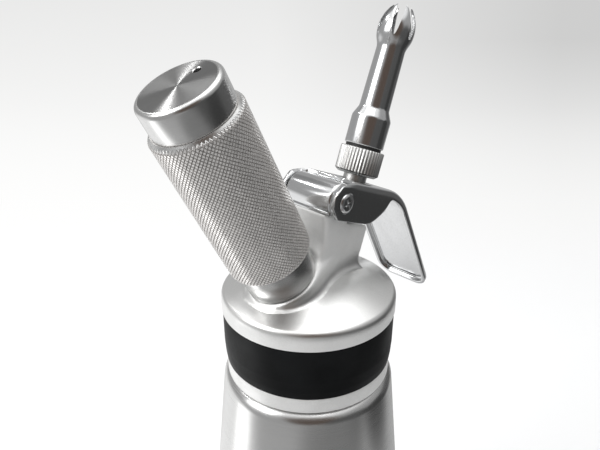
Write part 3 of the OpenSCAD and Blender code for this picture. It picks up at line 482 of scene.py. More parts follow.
class BuildStage(bpy.types.Operator):
    """Camera, pale floor that sweeps up behind, soft lamps and the studio round the object"""

    bl_idname = "dispenser.stage"
    bl_label = "Stage"

    def execute(self, context):
        self.camera(context)
        self.floor()
        self.studio(context)
        self.lamps()
        context.scene.view_settings.view_transform = "Standard"
        return {"FINISHED"}

    def camera(self, context):
        data = bpy.data.cameras.new("camera")
        data.lens = 33.6
        data.sensor_width = 36
        data.clip_start = 0.01
        camera = link(bpy.data.objects.new("camera", data))
        camera.location = (-0.1255, -0.1204, 0.3006)
        camera.rotation_euler = (math.radians(90 - 23.6), 0, math.radians(-45.2))
        context.scene.camera = camera

    def floor(self):
        near, far, wide, high, sweep = -2.2, 2.1, 5.2, 2.4, 0.9
        outline = [(near, 0)] + rounded([(near, 0, 0), (far, 0, sweep), (far, high, 0)], steps=24)[1:]
        bm = bmesh.new()
        edge = [bm.verts.new((x, -wide / 2, z)) for x, z in outline]
        edges = [bm.edges.new(pair) for pair in zip(edge, edge[1:])]
        grown = bmesh.ops.extrude_edge_only(bm, edges=edges)
        bmesh.ops.translate(bm, vec=(0, wide, 0), verts=verts_of(grown["geom"]))
        bmesh.ops.recalc_face_normals(bm, faces=bm.faces)
        if sum(f.normal.z for f in bm.faces) < 0:
            bmesh.ops.reverse_faces(bm, faces=bm.faces)
        bmesh.ops.rotate(bm, cent=(0, 0, 0), matrix=Matrix.Rotation(math.radians(44.8), 3, "Z"), verts=bm.verts)
        for f in bm.faces:
            f.smooth = True
        floor = link(bpy.data.objects.new("floor", mesh_from(bm, "floor")))
        floor.data.materials.append(self.floor_material())

    def floor_material(self):
        """Pale and matt near the object, an even backdrop behind it, and the room's tones in mirrors."""
        material = bpy.data.materials.new("pale floor")
        material.use_nodes = True
        n = Nodes(material.node_tree)
        shader = material.node_tree.nodes["Principled BSDF"]
        shader.inputs["Base Color"].default_value = grey(0.9)
        shader.inputs["Roughness"].default_value = 0.9
        shader.inputs["Specular IOR Level"].default_value = 0.1
        at = n.add("TexCoord").outputs["Object"]
        depth = n.vector("DOT_PRODUCT", at, (0.71, 0.705, 0))
        side = n.vector("DOT_PRODUCT", at, (0.705, -0.71, 0))
        reach = n.math("ADD", depth, n.vector("DOT_PRODUCT", at, (0, 0, 1)))
        # The backdrop falls from white to a soft grey, sooner and further on the right.
        left = n.ramp(reach, 0.55, 2.45, 1.0, 0.78)
        right = n.ramp(reach, 0.30, 1.80, 1.0, 0.62)
        tone = n.blend(n.ramp(n.math("DIVIDE", side, n.math("ADD", depth, 0.35)), -0.05, 0.40), left, right)
        rays = n.add("LightPath").outputs
        far = n.math("MULTIPLY", rays["Is Camera Ray"], n.span(depth, 0.30, 0.60))
        seen = n.mix(far, shader.outputs[0], n.light(n.vector("MULTIPLY", tone, (1.0, 1.0, 0.995))))
        towards = n.vector("NORMALIZE", n.vector("SUBTRACT", at, (0, 0, ROOM_HEIGHT)))
        last = n.mix(n.mirrored(rays), seen, n.light(room_tone(n, towards)))
        n.feed(material.node_tree.nodes["Material Output"].inputs[0], last)
        return material

    def studio(self, context):
        """Even light for matt surfaces, and for metal a room with soft boxes and dark sides."""
        world = bpy.data.worlds.new("studio")
        world.use_nodes = True
        context.scene.world = world
        world.node_tree.nodes.clear()
        n = Nodes(world.node_tree)
        facing = n.vector("NORMALIZE", n.add("TexCoord").outputs["Generated"])
        rays = n.add("LightPath").outputs
        even = n.light((0.93, 0.935, 0.94, 1), 0.82, "Background")
        lit = n.mix(n.mirrored(rays), even, n.light(room_tone(n, facing), 1.0, "Background"))
        last = n.mix(rays["Is Camera Ray"], lit, n.light(grey(1.0), 1.0, "Background"))
        n.feed(n.add("OutputWorld").inputs[0], last)

    def lamps(self):
        for name, spot, size, power in (
                ("soft box left", (-0.75, 0.30, 0.85), 0.55, 4.0),
                ("soft box above", (0.10, 0.05, 1.25), 0.9, 4.0),
                ("window left", (-0.21, 0.55, 0.83), 0.06, 0.8)):
            data = bpy.data.lights.new(name, "AREA")
            data.shape = "SQUARE"
            data.size = size
            data.energy = power
            lamp = link(bpy.data.objects.new(name, data))
            lamp.location = spot
            lamp.rotation_euler = (Vector((0, 0, 0.2)) - lamp.location).to_track_quat("-Z", "Y").to_euler()


# ---------------------------------------------------------------- bottle and head

# The head's round outside: radii, heights above the band and depths below it, in millimetres.
RIM_R, RIM_H, RIM_ROUND, DOME_H = 30.9, 4.9, 2.3, 13.2
LIP_R, SEAT_R, SKIRT_DEPTH, BAND_H = 29.8, 28.9, 25.1, 19.4
DOME_EDGE_R = RIM_R - RIM_ROUND
DOME_RISE = DOME_H - RIM_H - RIM_ROUND
DOME_SPHERE_R = (DOME_EDGE_R ** 2 + DOME_RISE ** 2) / (2 * DOME_RISE)
# Bores of the head, which no blend may close: the skirt's inside, and round the charger's stud and the stem.
SKIRT_BORE_R, CEILING_H, STUD_CLEAR, STEM_CLEAR = 26.65, 2.6, 0.0084, 0.0054
BLEND_REACH = 5.5
UP = Vector((0, 0, 1))


def grooves(crest, root, first, pitch, count, mouth, floor):
    """Outline of thread grooves in a bore, with a groove's half widths at its mouth and at its floor."""
    out = []
    for k in range(count):
        middle = first + pitch * k
        out += [(crest, middle - mouth), (root, middle - floor), (root, middle + floor), (crest, middle + mouth)]
    return out


def repaint(node, material):
    """Gives a material to a CAD node that keeps its own mesh."""
    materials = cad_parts[node].data.materials
    materials.clear()
    materials.append(material)


class BuildBottle(bpy.types.Operator):
    """Brushed steel bottle with its thread ring"""

    bl_idname = "dispenser.bottle"
    bl_label = "Bottle"

    def execute(self, context):
        steel = finish("brushed steel", colours().steel, 0.25, stretch=(50, 50, 4200), contrast=0.025, spread=0.06,
                       bump=0.03, height=0.000008, anisotropic=0.6)
        foot_r, foot_round, wall = 40.5, 7, 1.2
        taper_low, taper_r, taper = 76, 60, math.radians(5.93)
        shoulder_r, shoulder_round, inner_shoulder_r = 31.05, 4.5, 29.9
        neck_r, mouth_r, bead_r, bead_h, small = 24.4, 23.2, 25.8, 0.9, 0.4
        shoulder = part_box("neck_ring")[0].z / MM
        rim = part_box("bottle")[1].z / MM
        curve = arc((foot_r - taper_r, taper_low), taper_r, 0, taper, 8)
        outside = [(0, 0, 0), (foot_r, 0, foot_round), *[(r, z, 0) for r, z in curve],
                   (shoulder_r, shoulder, shoulder_round), (neck_r, shoulder, small), (neck_r, rim - bead_h, 0),
                   (bead_r, rim - bead_h, small), (bead_r, rim, small)]
        inside = [(mouth_r, rim, small), (mouth_r, shoulder - wall, 0.6), (inner_shoulder_r, shoulder - wall, 1.2),
                  *[(r - wall, z, 0) for r, z in reversed(curve)],
                  (foot_r - wall, wall, foot_round - wall), (0, wall, 0)]
        bm = bmesh.new()
        lathe(bm, rounded(outside + inside, steps=8), 180)
        bottle = object_from(bm, "steel_bottle", AS_IT_IS)
        dress(bottle, "bottle", "brushed_steel", steel, "bottle")
        repaint("neck_ring", finish("thread steel", colours().steel, 0.24, stretch=(200, 200, 3000), contrast=0.08,
                                    height=0.00002))
        return {"FINISHED"}


def dome_outline():
    """Rim and dome in one smooth curve, from the rim's foot to the middle."""
    slope = QUARTER - math.asin(DOME_EDGE_R / DOME_SPHERE_R)
    rim = arc((DOME_EDGE_R, RIM_H), RIM_ROUND, 0, slope, 8)
    return rim + arc((0, DOME_H - DOME_SPHERE_R), DOME_SPHERE_R, slope, QUARTER, 16)[1:]


def from_axis(point, origin, direction):
    """Distance of a point from a line."""
    offset = point - origin
    return (offset - direction * offset.dot(direction)).length


def round_place(co):
    """Radius from the bottle's axis and height above the band, in millimetres."""
    return math.hypot(co.x, co.y) / MM, (co.z - BAND_TOP) / MM


def dome_gap(co):
    """Distance of a point outside the turned shell, in millimetres."""
    radius, height = round_place(co)
    if height > RIM_H and radius < DOME_EDGE_R + 1.2:
        return math.hypot(radius, height - DOME_H + DOME_SPHERE_R) - DOME_SPHERE_R
    return radius - RIM_R


def is_turned(face):
    """True where the turned shell already makes a face of the casting."""
    radius, height = round_place(face.calc_center_median())
    return (height < RIM_H or radius > DOME_EDGE_R - 0.4) and radius >= (25.5 if height < 2.3 else 25)


class BuildHead(bpy.types.Operator):
    """Blasted aluminium head: turned shell, and arm and boss with cast blends"""

    bl_idname = "dispenser.head"
    bl_label = "Head casting"

    def shell(self):
        """Lip, band seat, rim, dome, and the threaded bore below."""
        first = (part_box("neck_ring")[0].z - BAND_TOP) / MM + 3
        inner = [(SKIRT_BORE_R, -SKIRT_DEPTH)] + grooves(SKIRT_BORE_R, 27.25, first, 4, 6, 1.38, 0.88) + [
            (SKIRT_BORE_R, CEILING_H), (0.0, CEILING_H)]
        outer = rounded([(SKIRT_BORE_R, -SKIRT_DEPTH, 0), (LIP_R, -SKIRT_DEPTH, 0.5), (LIP_R, -BAND_H, 0.3),
                         (SEAT_R, -BAND_H, 0), (SEAT_R, 0, 0), (RIM_R, 0, 0.25), (RIM_R, RIM_H - 0.1, 0)], steps=3)
        bm = bmesh.new()
        lathe(bm, list(reversed(inner)) + outer + dome_outline(), 192)
        return object_from(bm, "head_shell", ON_HEAD, 30)

    def blends(self):
        """Arm, boss, saddle and valve boss from the casting, with their creases smoothed into fillets."""
        bm = bmesh.new()
        bm.from_mesh(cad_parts["head_casting"].data)
        bmesh.ops.remove_doubles(bm, verts=bm.verts, dist=2e-6)
        obj = link(bpy.data.objects.new("head_blends", mesh_from(bm, "head_blends")))
        remesh = obj.modifiers.new("even", "REMESH")
        remesh.mode = "VOXEL"
        remesh.voxel_size = sizes().cast_round
        settle(obj, 180)
        bm = bmesh.new()
        bm.from_mesh(obj.data)
        bmesh.ops.delete(bm, geom=[f for f in bm.faces if is_turned(f)], context="FACES")
        self.fillet(bm)
        # The outermost part of each blend dips just under the dome, so no edge shows.
        for v in bm.verts:
            gap = dome_gap(v.co)
            if v.co.z > BAND_TOP + 0.004 and -1.0 < gap < 0.06:
                out = Vector((v.co.x, v.co.y, v.co.z - BAND_TOP - (DOME_H - DOME_SPHERE_R) * MM)).normalized()
                v.co -= out * (gap + 0.12) * MM
        mark_sharp(bm, 75)
        bm.to_mesh(obj.data)
        bm.free()
        return obj

    def fillet(self, bm):
        """Smooths the arm lightly, the holder boss's foot more, and the hollow over the dome most."""
        holder_axis, stem_axis = ON_HOLDER.to_3x3() @ UP, ON_STEM.to_3x3() @ UP
        stem_at = ON_STEM.translation

        def in_bore(co):
            in_stem_bore = from_axis(co, stem_at, stem_axis) < STEM_CLEAR and (co - stem_at).dot(stem_axis) < 0
            return in_stem_bore or from_axis(co, HOLDER_FOOT, holder_axis) < STUD_CLEAR

        floor = BAND_TOP + CEILING_H * MM + 0.002
        free = [v for v in bm.verts if not v.is_boundary and v.co.z >= floor and not in_bore(v.co)]
        around_boss = [v for v in free if 0.011 < from_axis(v.co, HOLDER_FOOT, holder_axis) < 0.019
                       and (v.co - HOLDER_FOOT).dot(holder_axis) < 0.004]
        for region in [free] * 3 + [around_boss] * 14:
            smooth(bm, region)
        hollow = [v for v in free if dome_gap(v.co) < BLEND_REACH]
        for k in range(16):
            smooth(bm, [v for v in hollow if dome_gap(v.co) < BLEND_REACH - 0.2 * k])

    def execute(self, context):
        material = finish("blasted aluminium", colours().aluminium, colours().cast_roughness,
                          effect_name="blasted skin", spread=0.10, bump=0.18, height=0.00003, pebble=1900.0)
        # The turned dome is brighter metal than the blasted arm above it and the rim and lip below it.
        n = Nodes(material.node_tree)
        shader = material.node_tree.nodes["Principled BSDF"].inputs
        high = n.vector("DOT_PRODUCT", n.add("TexCoord").outputs["Object"], (0, 0, 1))
        arm = n.span(high, BAND_TOP + 0.012, BAND_TOP + 0.018)
        rim = n.span(high, BAND_TOP + 0.006, BAND_TOP + 0.003)
        dull = n.math("ADD", arm, rim, True)
        n.feed(shader["Metallic"], n.math("SUBTRACT", 1.0, n.math("MULTIPLY", dull, 0.5)))
        rough = shader["Roughness"].links[0].from_socket
        n.feed(shader["Roughness"], n.math("ADD", rough, n.math("MULTIPLY", dull, 0.16)))
        head = join(self.shell(), self.blends())
        head.name = "cast_head"
        dress(head, "head", "cast_aluminium", material, "head_casting")
        return {"FINISHED"}


class BuildBand(bpy.types.Operator):
    """Black silicone grip band with a soft crown"""

    bl_idname = "dispenser.band"
    bl_label = "Grip band"

    def execute(self, context):
        silicone = finish("black silicone", colours().silicone, 0.46, effect_name="blasted skin", metallic=0.0,
                          contrast=0.25, spread=0.12, bump=0.25, height=0.00003, pebble=2600.0)
        silicone.node_tree.nodes["Principled BSDF"].inputs["Specular IOR Level"].default_value = 0.08
        seat, foot, top = SEAT_R + 0.02, 0.02 - BAND_H, -0.02
        outline = rounded([(seat, foot, 0), (29.9, foot, 0.35), (30.3, -16.4, 3), (30.55, -12.4, 6), (30.6, -0.3, 0),
                           (30.35, top, 0), (seat, top, 0)], steps=5)
        bm = bmesh.new()
        lathe(bm, outline, 192, closed=True)
        band = object_from(bm, "silicone_band", ON_HEAD, 40)
        dress(band, "head", "black_silicone", silicone, "grip_band")
        return {"FINISHED"}


# ---------------------------------------------------------------- charger holder

# The holder's tube and the grip on it, along the holder's own axis, in millimetres.
HOLDER_TOP, CAP_R, CAP_EDGE, CAP_LOW = 74.2, 12.4, 1.5, 65
CAP_FACE_R = CAP_R - CAP_EDGE
TUBE_R, COLLAR_R, COLLAR_TOP = 11.6, 12.1, 11.2
THREAD_R, THREAD_TOP, CHARGER_BORE_R, CHARGER_BORE_TOP = 9.85, 9.5, 9.2, 70.4
VENT_R, VENT_OFF, VENT_CHAMFER = 1.15, 7, 0.25
GRIP_R, GRIP_BORE_R, GRIP_LOW, GRIP_TOP = 14.0, 11.62, 11.25, 64.95
GRIP_RING_R, GRIP_CHAMFER = 12.75, 1.4


def chamfer_radius(height):
    """Radius of the grip's top chamfer at a height."""
    return GRIP_RING_R + (GRIP_TOP - height) * (GRIP_R - GRIP_RING_R) / GRIP_CHAMFER


def draw_in(v, radius):
    """Moves a vert to a radius round the axis."""
    share_of = radius / math.hypot(v.co.x, v.co.y)
    v.co.x *= share_of
    v.co.y *= share_of


class BuildHolder(bpy.types.Operator):
    """Turned holder tube with its collar, spun end face and vent hole, and the knurled grip on it"""

    bl_idname = "dispenser.holder"
    bl_label = "Charger holder"

    def execute(self, context):
        turned_steel = finish("turned steel", colours().steel, 0.25, ON_HOLDER, (60, 60, 9000), contrast=0.02,
                              spread=0.03, bump=0)
        outline = arc((CAP_FACE_R, HOLDER_TOP - CAP_EDGE), CAP_EDGE, QUARTER, 0, 8)
        outline += rounded([(CAP_R, CAP_LOW + 1, 0), (CAP_R, CAP_LOW, 0.2), (TUBE_R, CAP_LOW, 0),
                            (TUBE_R, COLLAR_TOP, 0), (COLLAR_R, COLLAR_TOP, 0.25), (COLLAR_R, 0, 0.3),
                            (THREAD_R, 0, 0.2)], steps=3)[1:]
        outline += grooves(THREAD_R, 10.25, 1.4, 1.5, 5, 0.6, 0.2)
        outline += [(THREAD_R, THREAD_TOP), (CHARGER_BORE_R, THREAD_TOP), (CHARGER_BORE_R, CHARGER_BORE_TOP)]
        bm = bmesh.new()
        lathe(bm, outline, 128)
        self.end_wall(bm)
        bmesh.ops.remove_doubles(bm, verts=bm.verts, dist=1e-4)
        bmesh.ops.recalc_face_normals(bm, faces=bm.faces)
        tube = object_from(bm, "turned_holder", ON_HOLDER, 30)
        dress(tube, "holder", "turned_steel", turned_steel, "holder_tube")
        tube.data.materials.append(self.spun_face())
        inward = ON_HOLDER.inverted()
        for polygon in tube.data.polygons:
            at = inward @ polygon.center / MM
            if at.z > HOLDER_TOP - 0.02 and math.hypot(at.x, at.y) < CAP_FACE_R + 0.1:
                polygon.material_index = 1
        self.knurl()
        return {"FINISHED"}

    def end_wall(self, bm):
        """The end wall's two faces, round the vent hole."""
        rings = []
        for radius, height in ((VENT_R + VENT_CHAMFER, HOLDER_TOP), (VENT_R, HOLDER_TOP - VENT_CHAMFER),
                               (VENT_R, CHARGER_BORE_TOP)):
            made = bmesh.ops.create_circle(bm, segments=24, radius=radius)["verts"]
            bmesh.ops.translate(bm, vec=(VENT_OFF, 0, height), verts=made)
            rings.append(list({e for v in made for e in v.link_edges}))
        for upper, lower in zip(rings, rings[1:]):
            bmesh.ops.bridge_loops(bm, edges=upper + lower)
        for ring, radius, height in ((rings[0], CAP_FACE_R, HOLDER_TOP),
                                     (rings[2], CHARGER_BORE_R, CHARGER_BORE_TOP)):
            rim = [e for e in bm.edges if all(abs(v.co.z - height) < 1e-4 and
                                              abs(math.hypot(v.co.x, v.co.y) - radius) < 1e-3 for v in e.verts)]
            bmesh.ops.triangle_fill(bm, use_beauty=True, edges=rim + ring)

    def spun_face(self):
        """End face turned from its middle: fine rings that throw long wedges of light."""
        # The face's steel is darkened to 0.55 of its colour: painted shade.
        spun = finish("spun end face", tinted(colours().steel, 0.55), 0.30, ON_HOLDER, (500, 500, 500), contrast=0.03,
                      bump=0, anisotropic=1.0)
        n = Nodes(spun.node_tree)
        shader = spun.node_tree.nodes["Principled BSDF"].inputs
        own = next(x for x in spun.node_tree.nodes if x.bl_idname == "ShaderNodeMapping").outputs[0]
        marks = n.add("Group", node_tree=EFFECTS["lathe marks"])
        for key, value in (("Vector", own), ("Pitch", 0.00022), ("Roughness", 0.30)):
            n.feed(marks.inputs[key], value)
        n.feed(shader["Roughness"], marks.outputs["Roughness"])
        n.feed(shader["Normal"], n.add("Bump", {"Height": marks.outputs["Height"], "Strength": 0.10,
                                                "Distance": 0.00002}).outputs[0])
        return spun

    def knurl(self):
        """Diamond knurl: rows of small quads round the grip, each drawn out to a flat-topped point."""
        size = sizes()
        depth, rise = size.knurl_depth / MM, size.knurl_height / MM
        count = round(WHOLE * GRIP_R / (size.knurl_pitch / MM))
        root, step = GRIP_R - depth, WHOLE / count
        bm = bmesh.new()
        corners = [(0, -rise / 2), (step / 2, 0), (0, rise / 2), (-step / 2, 0)]
        bm.faces.new([bm.verts.new((root * math.cos(a), root * math.sin(a), z)) for a, z in corners])
        bmesh.ops.spin(bm, geom=list(bm.faces), cent=(0, 0, 0), axis=(0, 0, 1), dvec=(0, 0, 0),
                       angle=WHOLE * (count - 1) / count, steps=count - 1, use_duplicate=True)
        bmesh.ops.translate(bm, vec=(0, 0, GRIP_LOW - rise / 2), verts=bm.verts)
        row = everything(bm)
        rows = int((GRIP_TOP - GRIP_LOW) / (rise / 2)) + 2
        for k in range(1, rows + 1):
            moved = verts_of(bmesh.ops.duplicate(bm, geom=row)["geom"])
            bmesh.ops.rotate(bm, cent=(0, 0, 0), matrix=Matrix.Rotation(step / 2 * k, 3, "Z"), verts=moved)
            bmesh.ops.translate(bm, vec=(0, 0, rise / 2 * k), verts=moved)
        bmesh.ops.remove_doubles(bm, verts=bm.verts, dist=0.02)
        bmesh.ops.recalc_face_normals(bm, faces=bm.faces)
        first = next(iter(bm.faces))
        middle = first.calc_center_median()
        if first.normal.dot(Vector((middle.x, middle.y, 0))) < 0:
            bmesh.ops.reverse_faces(bm, faces=bm.faces)
        bmesh.ops.inset_individual(bm, faces=list(bm.faces), thickness=0.15, depth=depth, use_even_offset=True)
        for height, side in ((GRIP_LOW, -1), (GRIP_TOP, 1)):
            bmesh.ops.bisect_plane(bm, geom=everything(bm), dist=1e-5, plane_co=(0, 0, height),
                                   plane_no=(0, 0, side), clear_outer=True)
        # The turned chamfer and the foot's bevel cut the crests back.
        for v in bm.verts:
            most = min(GRIP_R, chamfer_radius(v.co.z), GRIP_R - 0.4 + (v.co.z - GRIP_LOW))
            if math.hypot(v.co.x, v.co.y) > most:
                draw_in(v, most)
        loops = []
        for height in (GRIP_LOW, GRIP_TOP):
            rim = [e for e in bm.edges if e.is_boundary and all(abs(v.co.z - height) < 1e-3 for v in e.verts)]
            grown = bmesh.ops.extrude_edge_only(bm, edges=rim)["geom"]
            for v in verts_of(grown):
                draw_in(v, GRIP_BORE_R)
            loops += edges_of(grown)
        bmesh.ops.bridge_loops(bm, edges=loops)
        bmesh.ops.recalc_face_normals(bm, faces=bm.faces)
        knurl = object_from(bm, "knurled_grip", ON_HOLDER, 12)
        # The crests get a lighter copy of the knurl colour and the grooves a darker one; the darker groove copy is
        # painted shade.
        steel, groove_shade = [
            finish(name, tinted(colours().knurl, tint), roughness, ON_HOLDER, (900, 900, 900), 0.10, spread, bump,
                   metallic=0.7)
            for name, tint, roughness, spread, bump in (
                ("knurled steel", 1.30, 0.30, 0.12, 0.05), ("knurl groove shade", 0.95, 0.40, 0.08, 0))]
        dress(knurl, "holder", "knurled_steel", steel, "knurled_sleeve")
        # The turned chamfer under the end cap is polished, and the grooves between the diamonds get a darker copy of
        # the knurl colour than the crests: painted shade.
        knurl.data.materials.append(bpy.data.materials["turned steel"])
        knurl.data.materials.append(groove_shade)
        inward = ON_HOLDER.inverted()
        for polygon in knurl.data.polygons:
            at = inward @ polygon.center / MM
            normal = inward.to_3x3() @ polygon.normal
            if at.z > GRIP_TOP - 1.0 and math.hypot(at.x, at.y) > chamfer_radius(at.z) - 0.15:
                polygon.material_index = 1
            elif normal.dot(Vector((at.x, at.y, 0)).normalized()) < 0.85:
                polygon.material_index = 2


# ---------------------------------------------------------------- lever

# The lever, measured from the pivot's axis along its plate, in millimetres.
LEVER_HALF, LEVER_TOP, SHEET = 12.3, 7.4, 1.5
BEND_START, BEND_R, BEND_ANGLE = 24.7, 22.0, math.radians(40.4)
BEND_RUN = BEND_R * BEND_ANGLE
BEND_END = BEND_START + BEND_RUN
HANDLE_LEN, EDGE_DEPTH, HANDLE_CORNER = 44.8, 3.4, 6.0
LEVER_END = BEND_END + HANDLE_LEN
CHEEK_NOSE_R, CHEEK_LOW, CHEEK_STRAIGHT, BELLY_END = 6.4, -6.0, 13.5, 31.0
NOSE_TOP, NOSE_TOP_X, NOSE_RISE = 6.3, -1.1, 3.7
SLOT_R, SLOT_FRONT, SLOT_BACK = 4.55, STEM_REACH + 2, STEM_REACH - 1.3
PIN_HOLE_R, SEAT_HOLE_R, SCREW_SEAT = 2.52, 3.7, LEVER_HALF - 0.6
CORNER_STEPS = 5
RUNS = ([2.6, 4.0, 8.0, 13.5, 16.0, 18.5, 21.0, 23.0] + [BEND_START + BEND_RUN * k / 12 for k in range(13)]
        + [BEND_END + 13, BEND_END + 26, LEVER_END - HANDLE_CORNER])


def lever_path(run):
    """Point (x, z), up direction and forward direction of the lever's top at a run from the pivot's axis."""
    if run <= BEND_START:
        return Vector((run, 0, LEVER_TOP)), UP, Vector((1, 0, 0))
    angle = min((run - BEND_START) / BEND_R, BEND_ANGLE)
    up = Vector((math.sin(angle), 0, math.cos(angle)))
    ahead = Vector((math.cos(angle), 0, -math.sin(angle)))
    at = Vector((BEND_START, 0, LEVER_TOP - BEND_R)) + up * BEND_R
    return at + ahead * max(run - BEND_END, 0), up, ahead


def cheek_depth(run):
    """Depth of the cheek or turned-in edge under the lever's top at a run."""
    at = lever_path(run)[0].x
    if at <= CHEEK_STRAIGHT:
        return LEVER_TOP - CHEEK_LOW
    part = min((at - CHEEK_STRAIGHT) / (BELLY_END - CHEEK_STRAIGHT), 1.0)
    low = CHEEK_LOW + (LEVER_TOP - EDGE_DEPTH - CHEEK_LOW) * (1 - math.cos(HALF * part)) / 2
    if at < BEND_START:
        return LEVER_TOP - low
    return max(EDGE_DEPTH, (LEVER_TOP - low) * math.cos(BEND_ANGLE * part) - 2.2 * part)


def nose(height):
    """How far back the cheek's round nose reaches at a height."""
    return -math.sqrt(max(CHEEK_NOSE_R ** 2 - height ** 2, 0))


def strips(bm, rows):
    """Fills the quads between neighbouring rows of verts."""
    for a, b in zip(rows, rows[1:]):
        for k in range(len(a) - 1):
            bm.faces.new((a[k], b[k], b[k + 1], a[k + 1]))


class BuildLever(bpy.types.Operator):
    """Pressed and chromed lever: slotted plate, two cheeks, bend and tray-shaped handle"""

    bl_idname = "dispenser.lever"
    bl_label = "Lever"

    def places(self, corner):
        """Places on the outline, from one cheek's nose round the handle's end to the other's."""
        ahead, inner = lever_path(LEVER_END)[2], HANDLE_CORNER - corner
        sides = []
        for side in (1, -1):
            line = [(run, side * (LEVER_HALF - corner), Vector((0, side, 0)), 0.0, cheek_depth(run)) for run in RUNS]
            turn = [(LEVER_END, side * (LEVER_HALF - HANDLE_CORNER + inner * math.cos(a)),
                     Vector((0, side * math.cos(a), 0)) + ahead * math.sin(a),
                     inner * math.sin(a) - HANDLE_CORNER, EDGE_DEPTH) for a in (QUARTER * k / 5 for k in range(1, 6))]
            sides.append(line + turn)
        across = [(LEVER_END, y, ahead, -corner, EDGE_DEPTH) for y in (3.0, 0.0, -3.0)]
        return sides[0] + across + list(reversed(sides[1]))

    def column(self, bm, corner, run, y, out, along, depth):
        """Verts from the plate's edge round the corner and down, for one place on the outline."""
        at, up, ahead = lever_path(run)
        base = at + ahead * along + Vector((0, y, 0))
        spots = []
        for k in range(CORNER_STEPS + 1):
            a = QUARTER * k / CORNER_STEPS
            spot = base + out * (corner * math.sin(a)) - up * (corner * (1 - math.cos(a)))
            if run == RUNS[0]:
                spot.x = nose(spot.z) if spot.z < NOSE_TOP else (
                    NOSE_TOP_X + (spot.z - NOSE_TOP) / (LEVER_TOP - NOSE_TOP) * NOSE_RISE)
            spots.append(spot)
        foot = base + out * corner - up * depth
        for k in (1, 2, 3):
            spot = spots[CORNER_STEPS].lerp(foot, k / 3)
            if run == RUNS[0]:
                spot.x = nose(spot.z)
            spots.append(spot)
        return [bm.verts.new(spot) for spot in spots]

    def sheet(self):
        """The lever's outer skin: rows of points from the plate's middle out over the edge and down the cheek."""
        corner = sizes().cheek_round / MM
        bm = bmesh.new()
        columns = [self.column(bm, corner, *place) for place in self.places(corner)]
        strips(bm, columns)
        # Plate, bend and the handle's middle, from side to side.
        count = len(RUNS)
        rungs = []
        for a, b in zip(columns[:count], reversed(columns[-count:])):
            rungs.append([a[0], *[bm.verts.new(a[0].co.lerp(b[0].co, k / 4)) for k in (1, 2, 3)], b[0]])
        strips(bm, rungs)
        tip = [c[0] for c in columns[count - 1:len(columns) - count + 1]]
        bm.faces.new(tip + list(reversed(rungs[-1][1:4])))
        bmesh.ops.remove_doubles(bm, verts=bm.verts, dist=1e-3)
        bmesh.ops.recalc_face_normals(bm, faces=bm.faces)
        plate = min(bm.faces, key=lambda f: (f.calc_center_median() - Vector((12, 0, LEVER_TOP))).length)
        if plate.normal.z < 0:
            bmesh.ops.reverse_faces(bm, faces=bm.faces)
        return object_from(bm, "pressed_lever", ON_VALVE, 60)

    def execute(self, context):
        chrome = finish("chromed lever", colours().chrome, colours().chrome_roughness + 0.04, ON_VALVE,
                        (300, 1500, 1500), 0.04, bump=0.04)
        lever = self.sheet()
        wall = lever.modifiers.new("sheet", "SOLIDIFY")
        wall.thickness = SHEET * MM
        wall.offset = -1
        wall.use_even_offset = True
        wall.use_quality_normals = True
        settle(lever, 60)
        soften(lever, sizes().edge_round, 50)
        # Slot for the adapter's neck.
        slot = [(middle + side * SLOT_R * math.sin(a), side * SLOT_R * math.cos(a))
                for middle, side in ((SLOT_FRONT, 1), (SLOT_BACK, -1)) for a in (HALF * k / 16 for k in range(17))]
        bm = bmesh.new()
        prism(bm, slot, 0, 12)
        carve(lever, object_from(bm, "slot_cutter", ON_VALVE))
        # Pin hole, and a round seat in each cheek for the screw's head.
        bm = bmesh.new()
        lathe(bm, [(0, -20), (SEAT_HOLE_R, -20), (SEAT_HOLE_R, -SCREW_SEAT), (PIN_HOLE_R, -SCREW_SEAT),
                   (PIN_HOLE_R, SCREW_SEAT), (SEAT_HOLE_R, SCREW_SEAT), (SEAT_HOLE_R, 20), (0, 20)], 48)
        carve(lever, object_from(bm, "pin_cutter", ACROSS), 50)
        dress(lever, "lever", "chromed_lever", chrome, "lever")
        return {"FINISHED"}


# The pivot bar: its bore, radius, half length, and how far its flat and its foot plate lie under the axis.
BAR_BORE_R, BAR_R, BAR_HALF, BAR_DROP, BAR_FOOT = 2.56, 6.1, 10.2, 3.5, 0.8
SCREW_OUTLINE = [(0, -6), (1.5, -6), (1.5, 0), (3.3, 0), (3.3, 0.45), (3.18, 0.8), (2.85, 1.12), (2.2, 1.36),
                 (1.3, 1.47), (0, 1.5)]


def under_pivot(drop):
    return Matrix.Translation(PIVOT - Vector((0, 0, drop)) * MM)


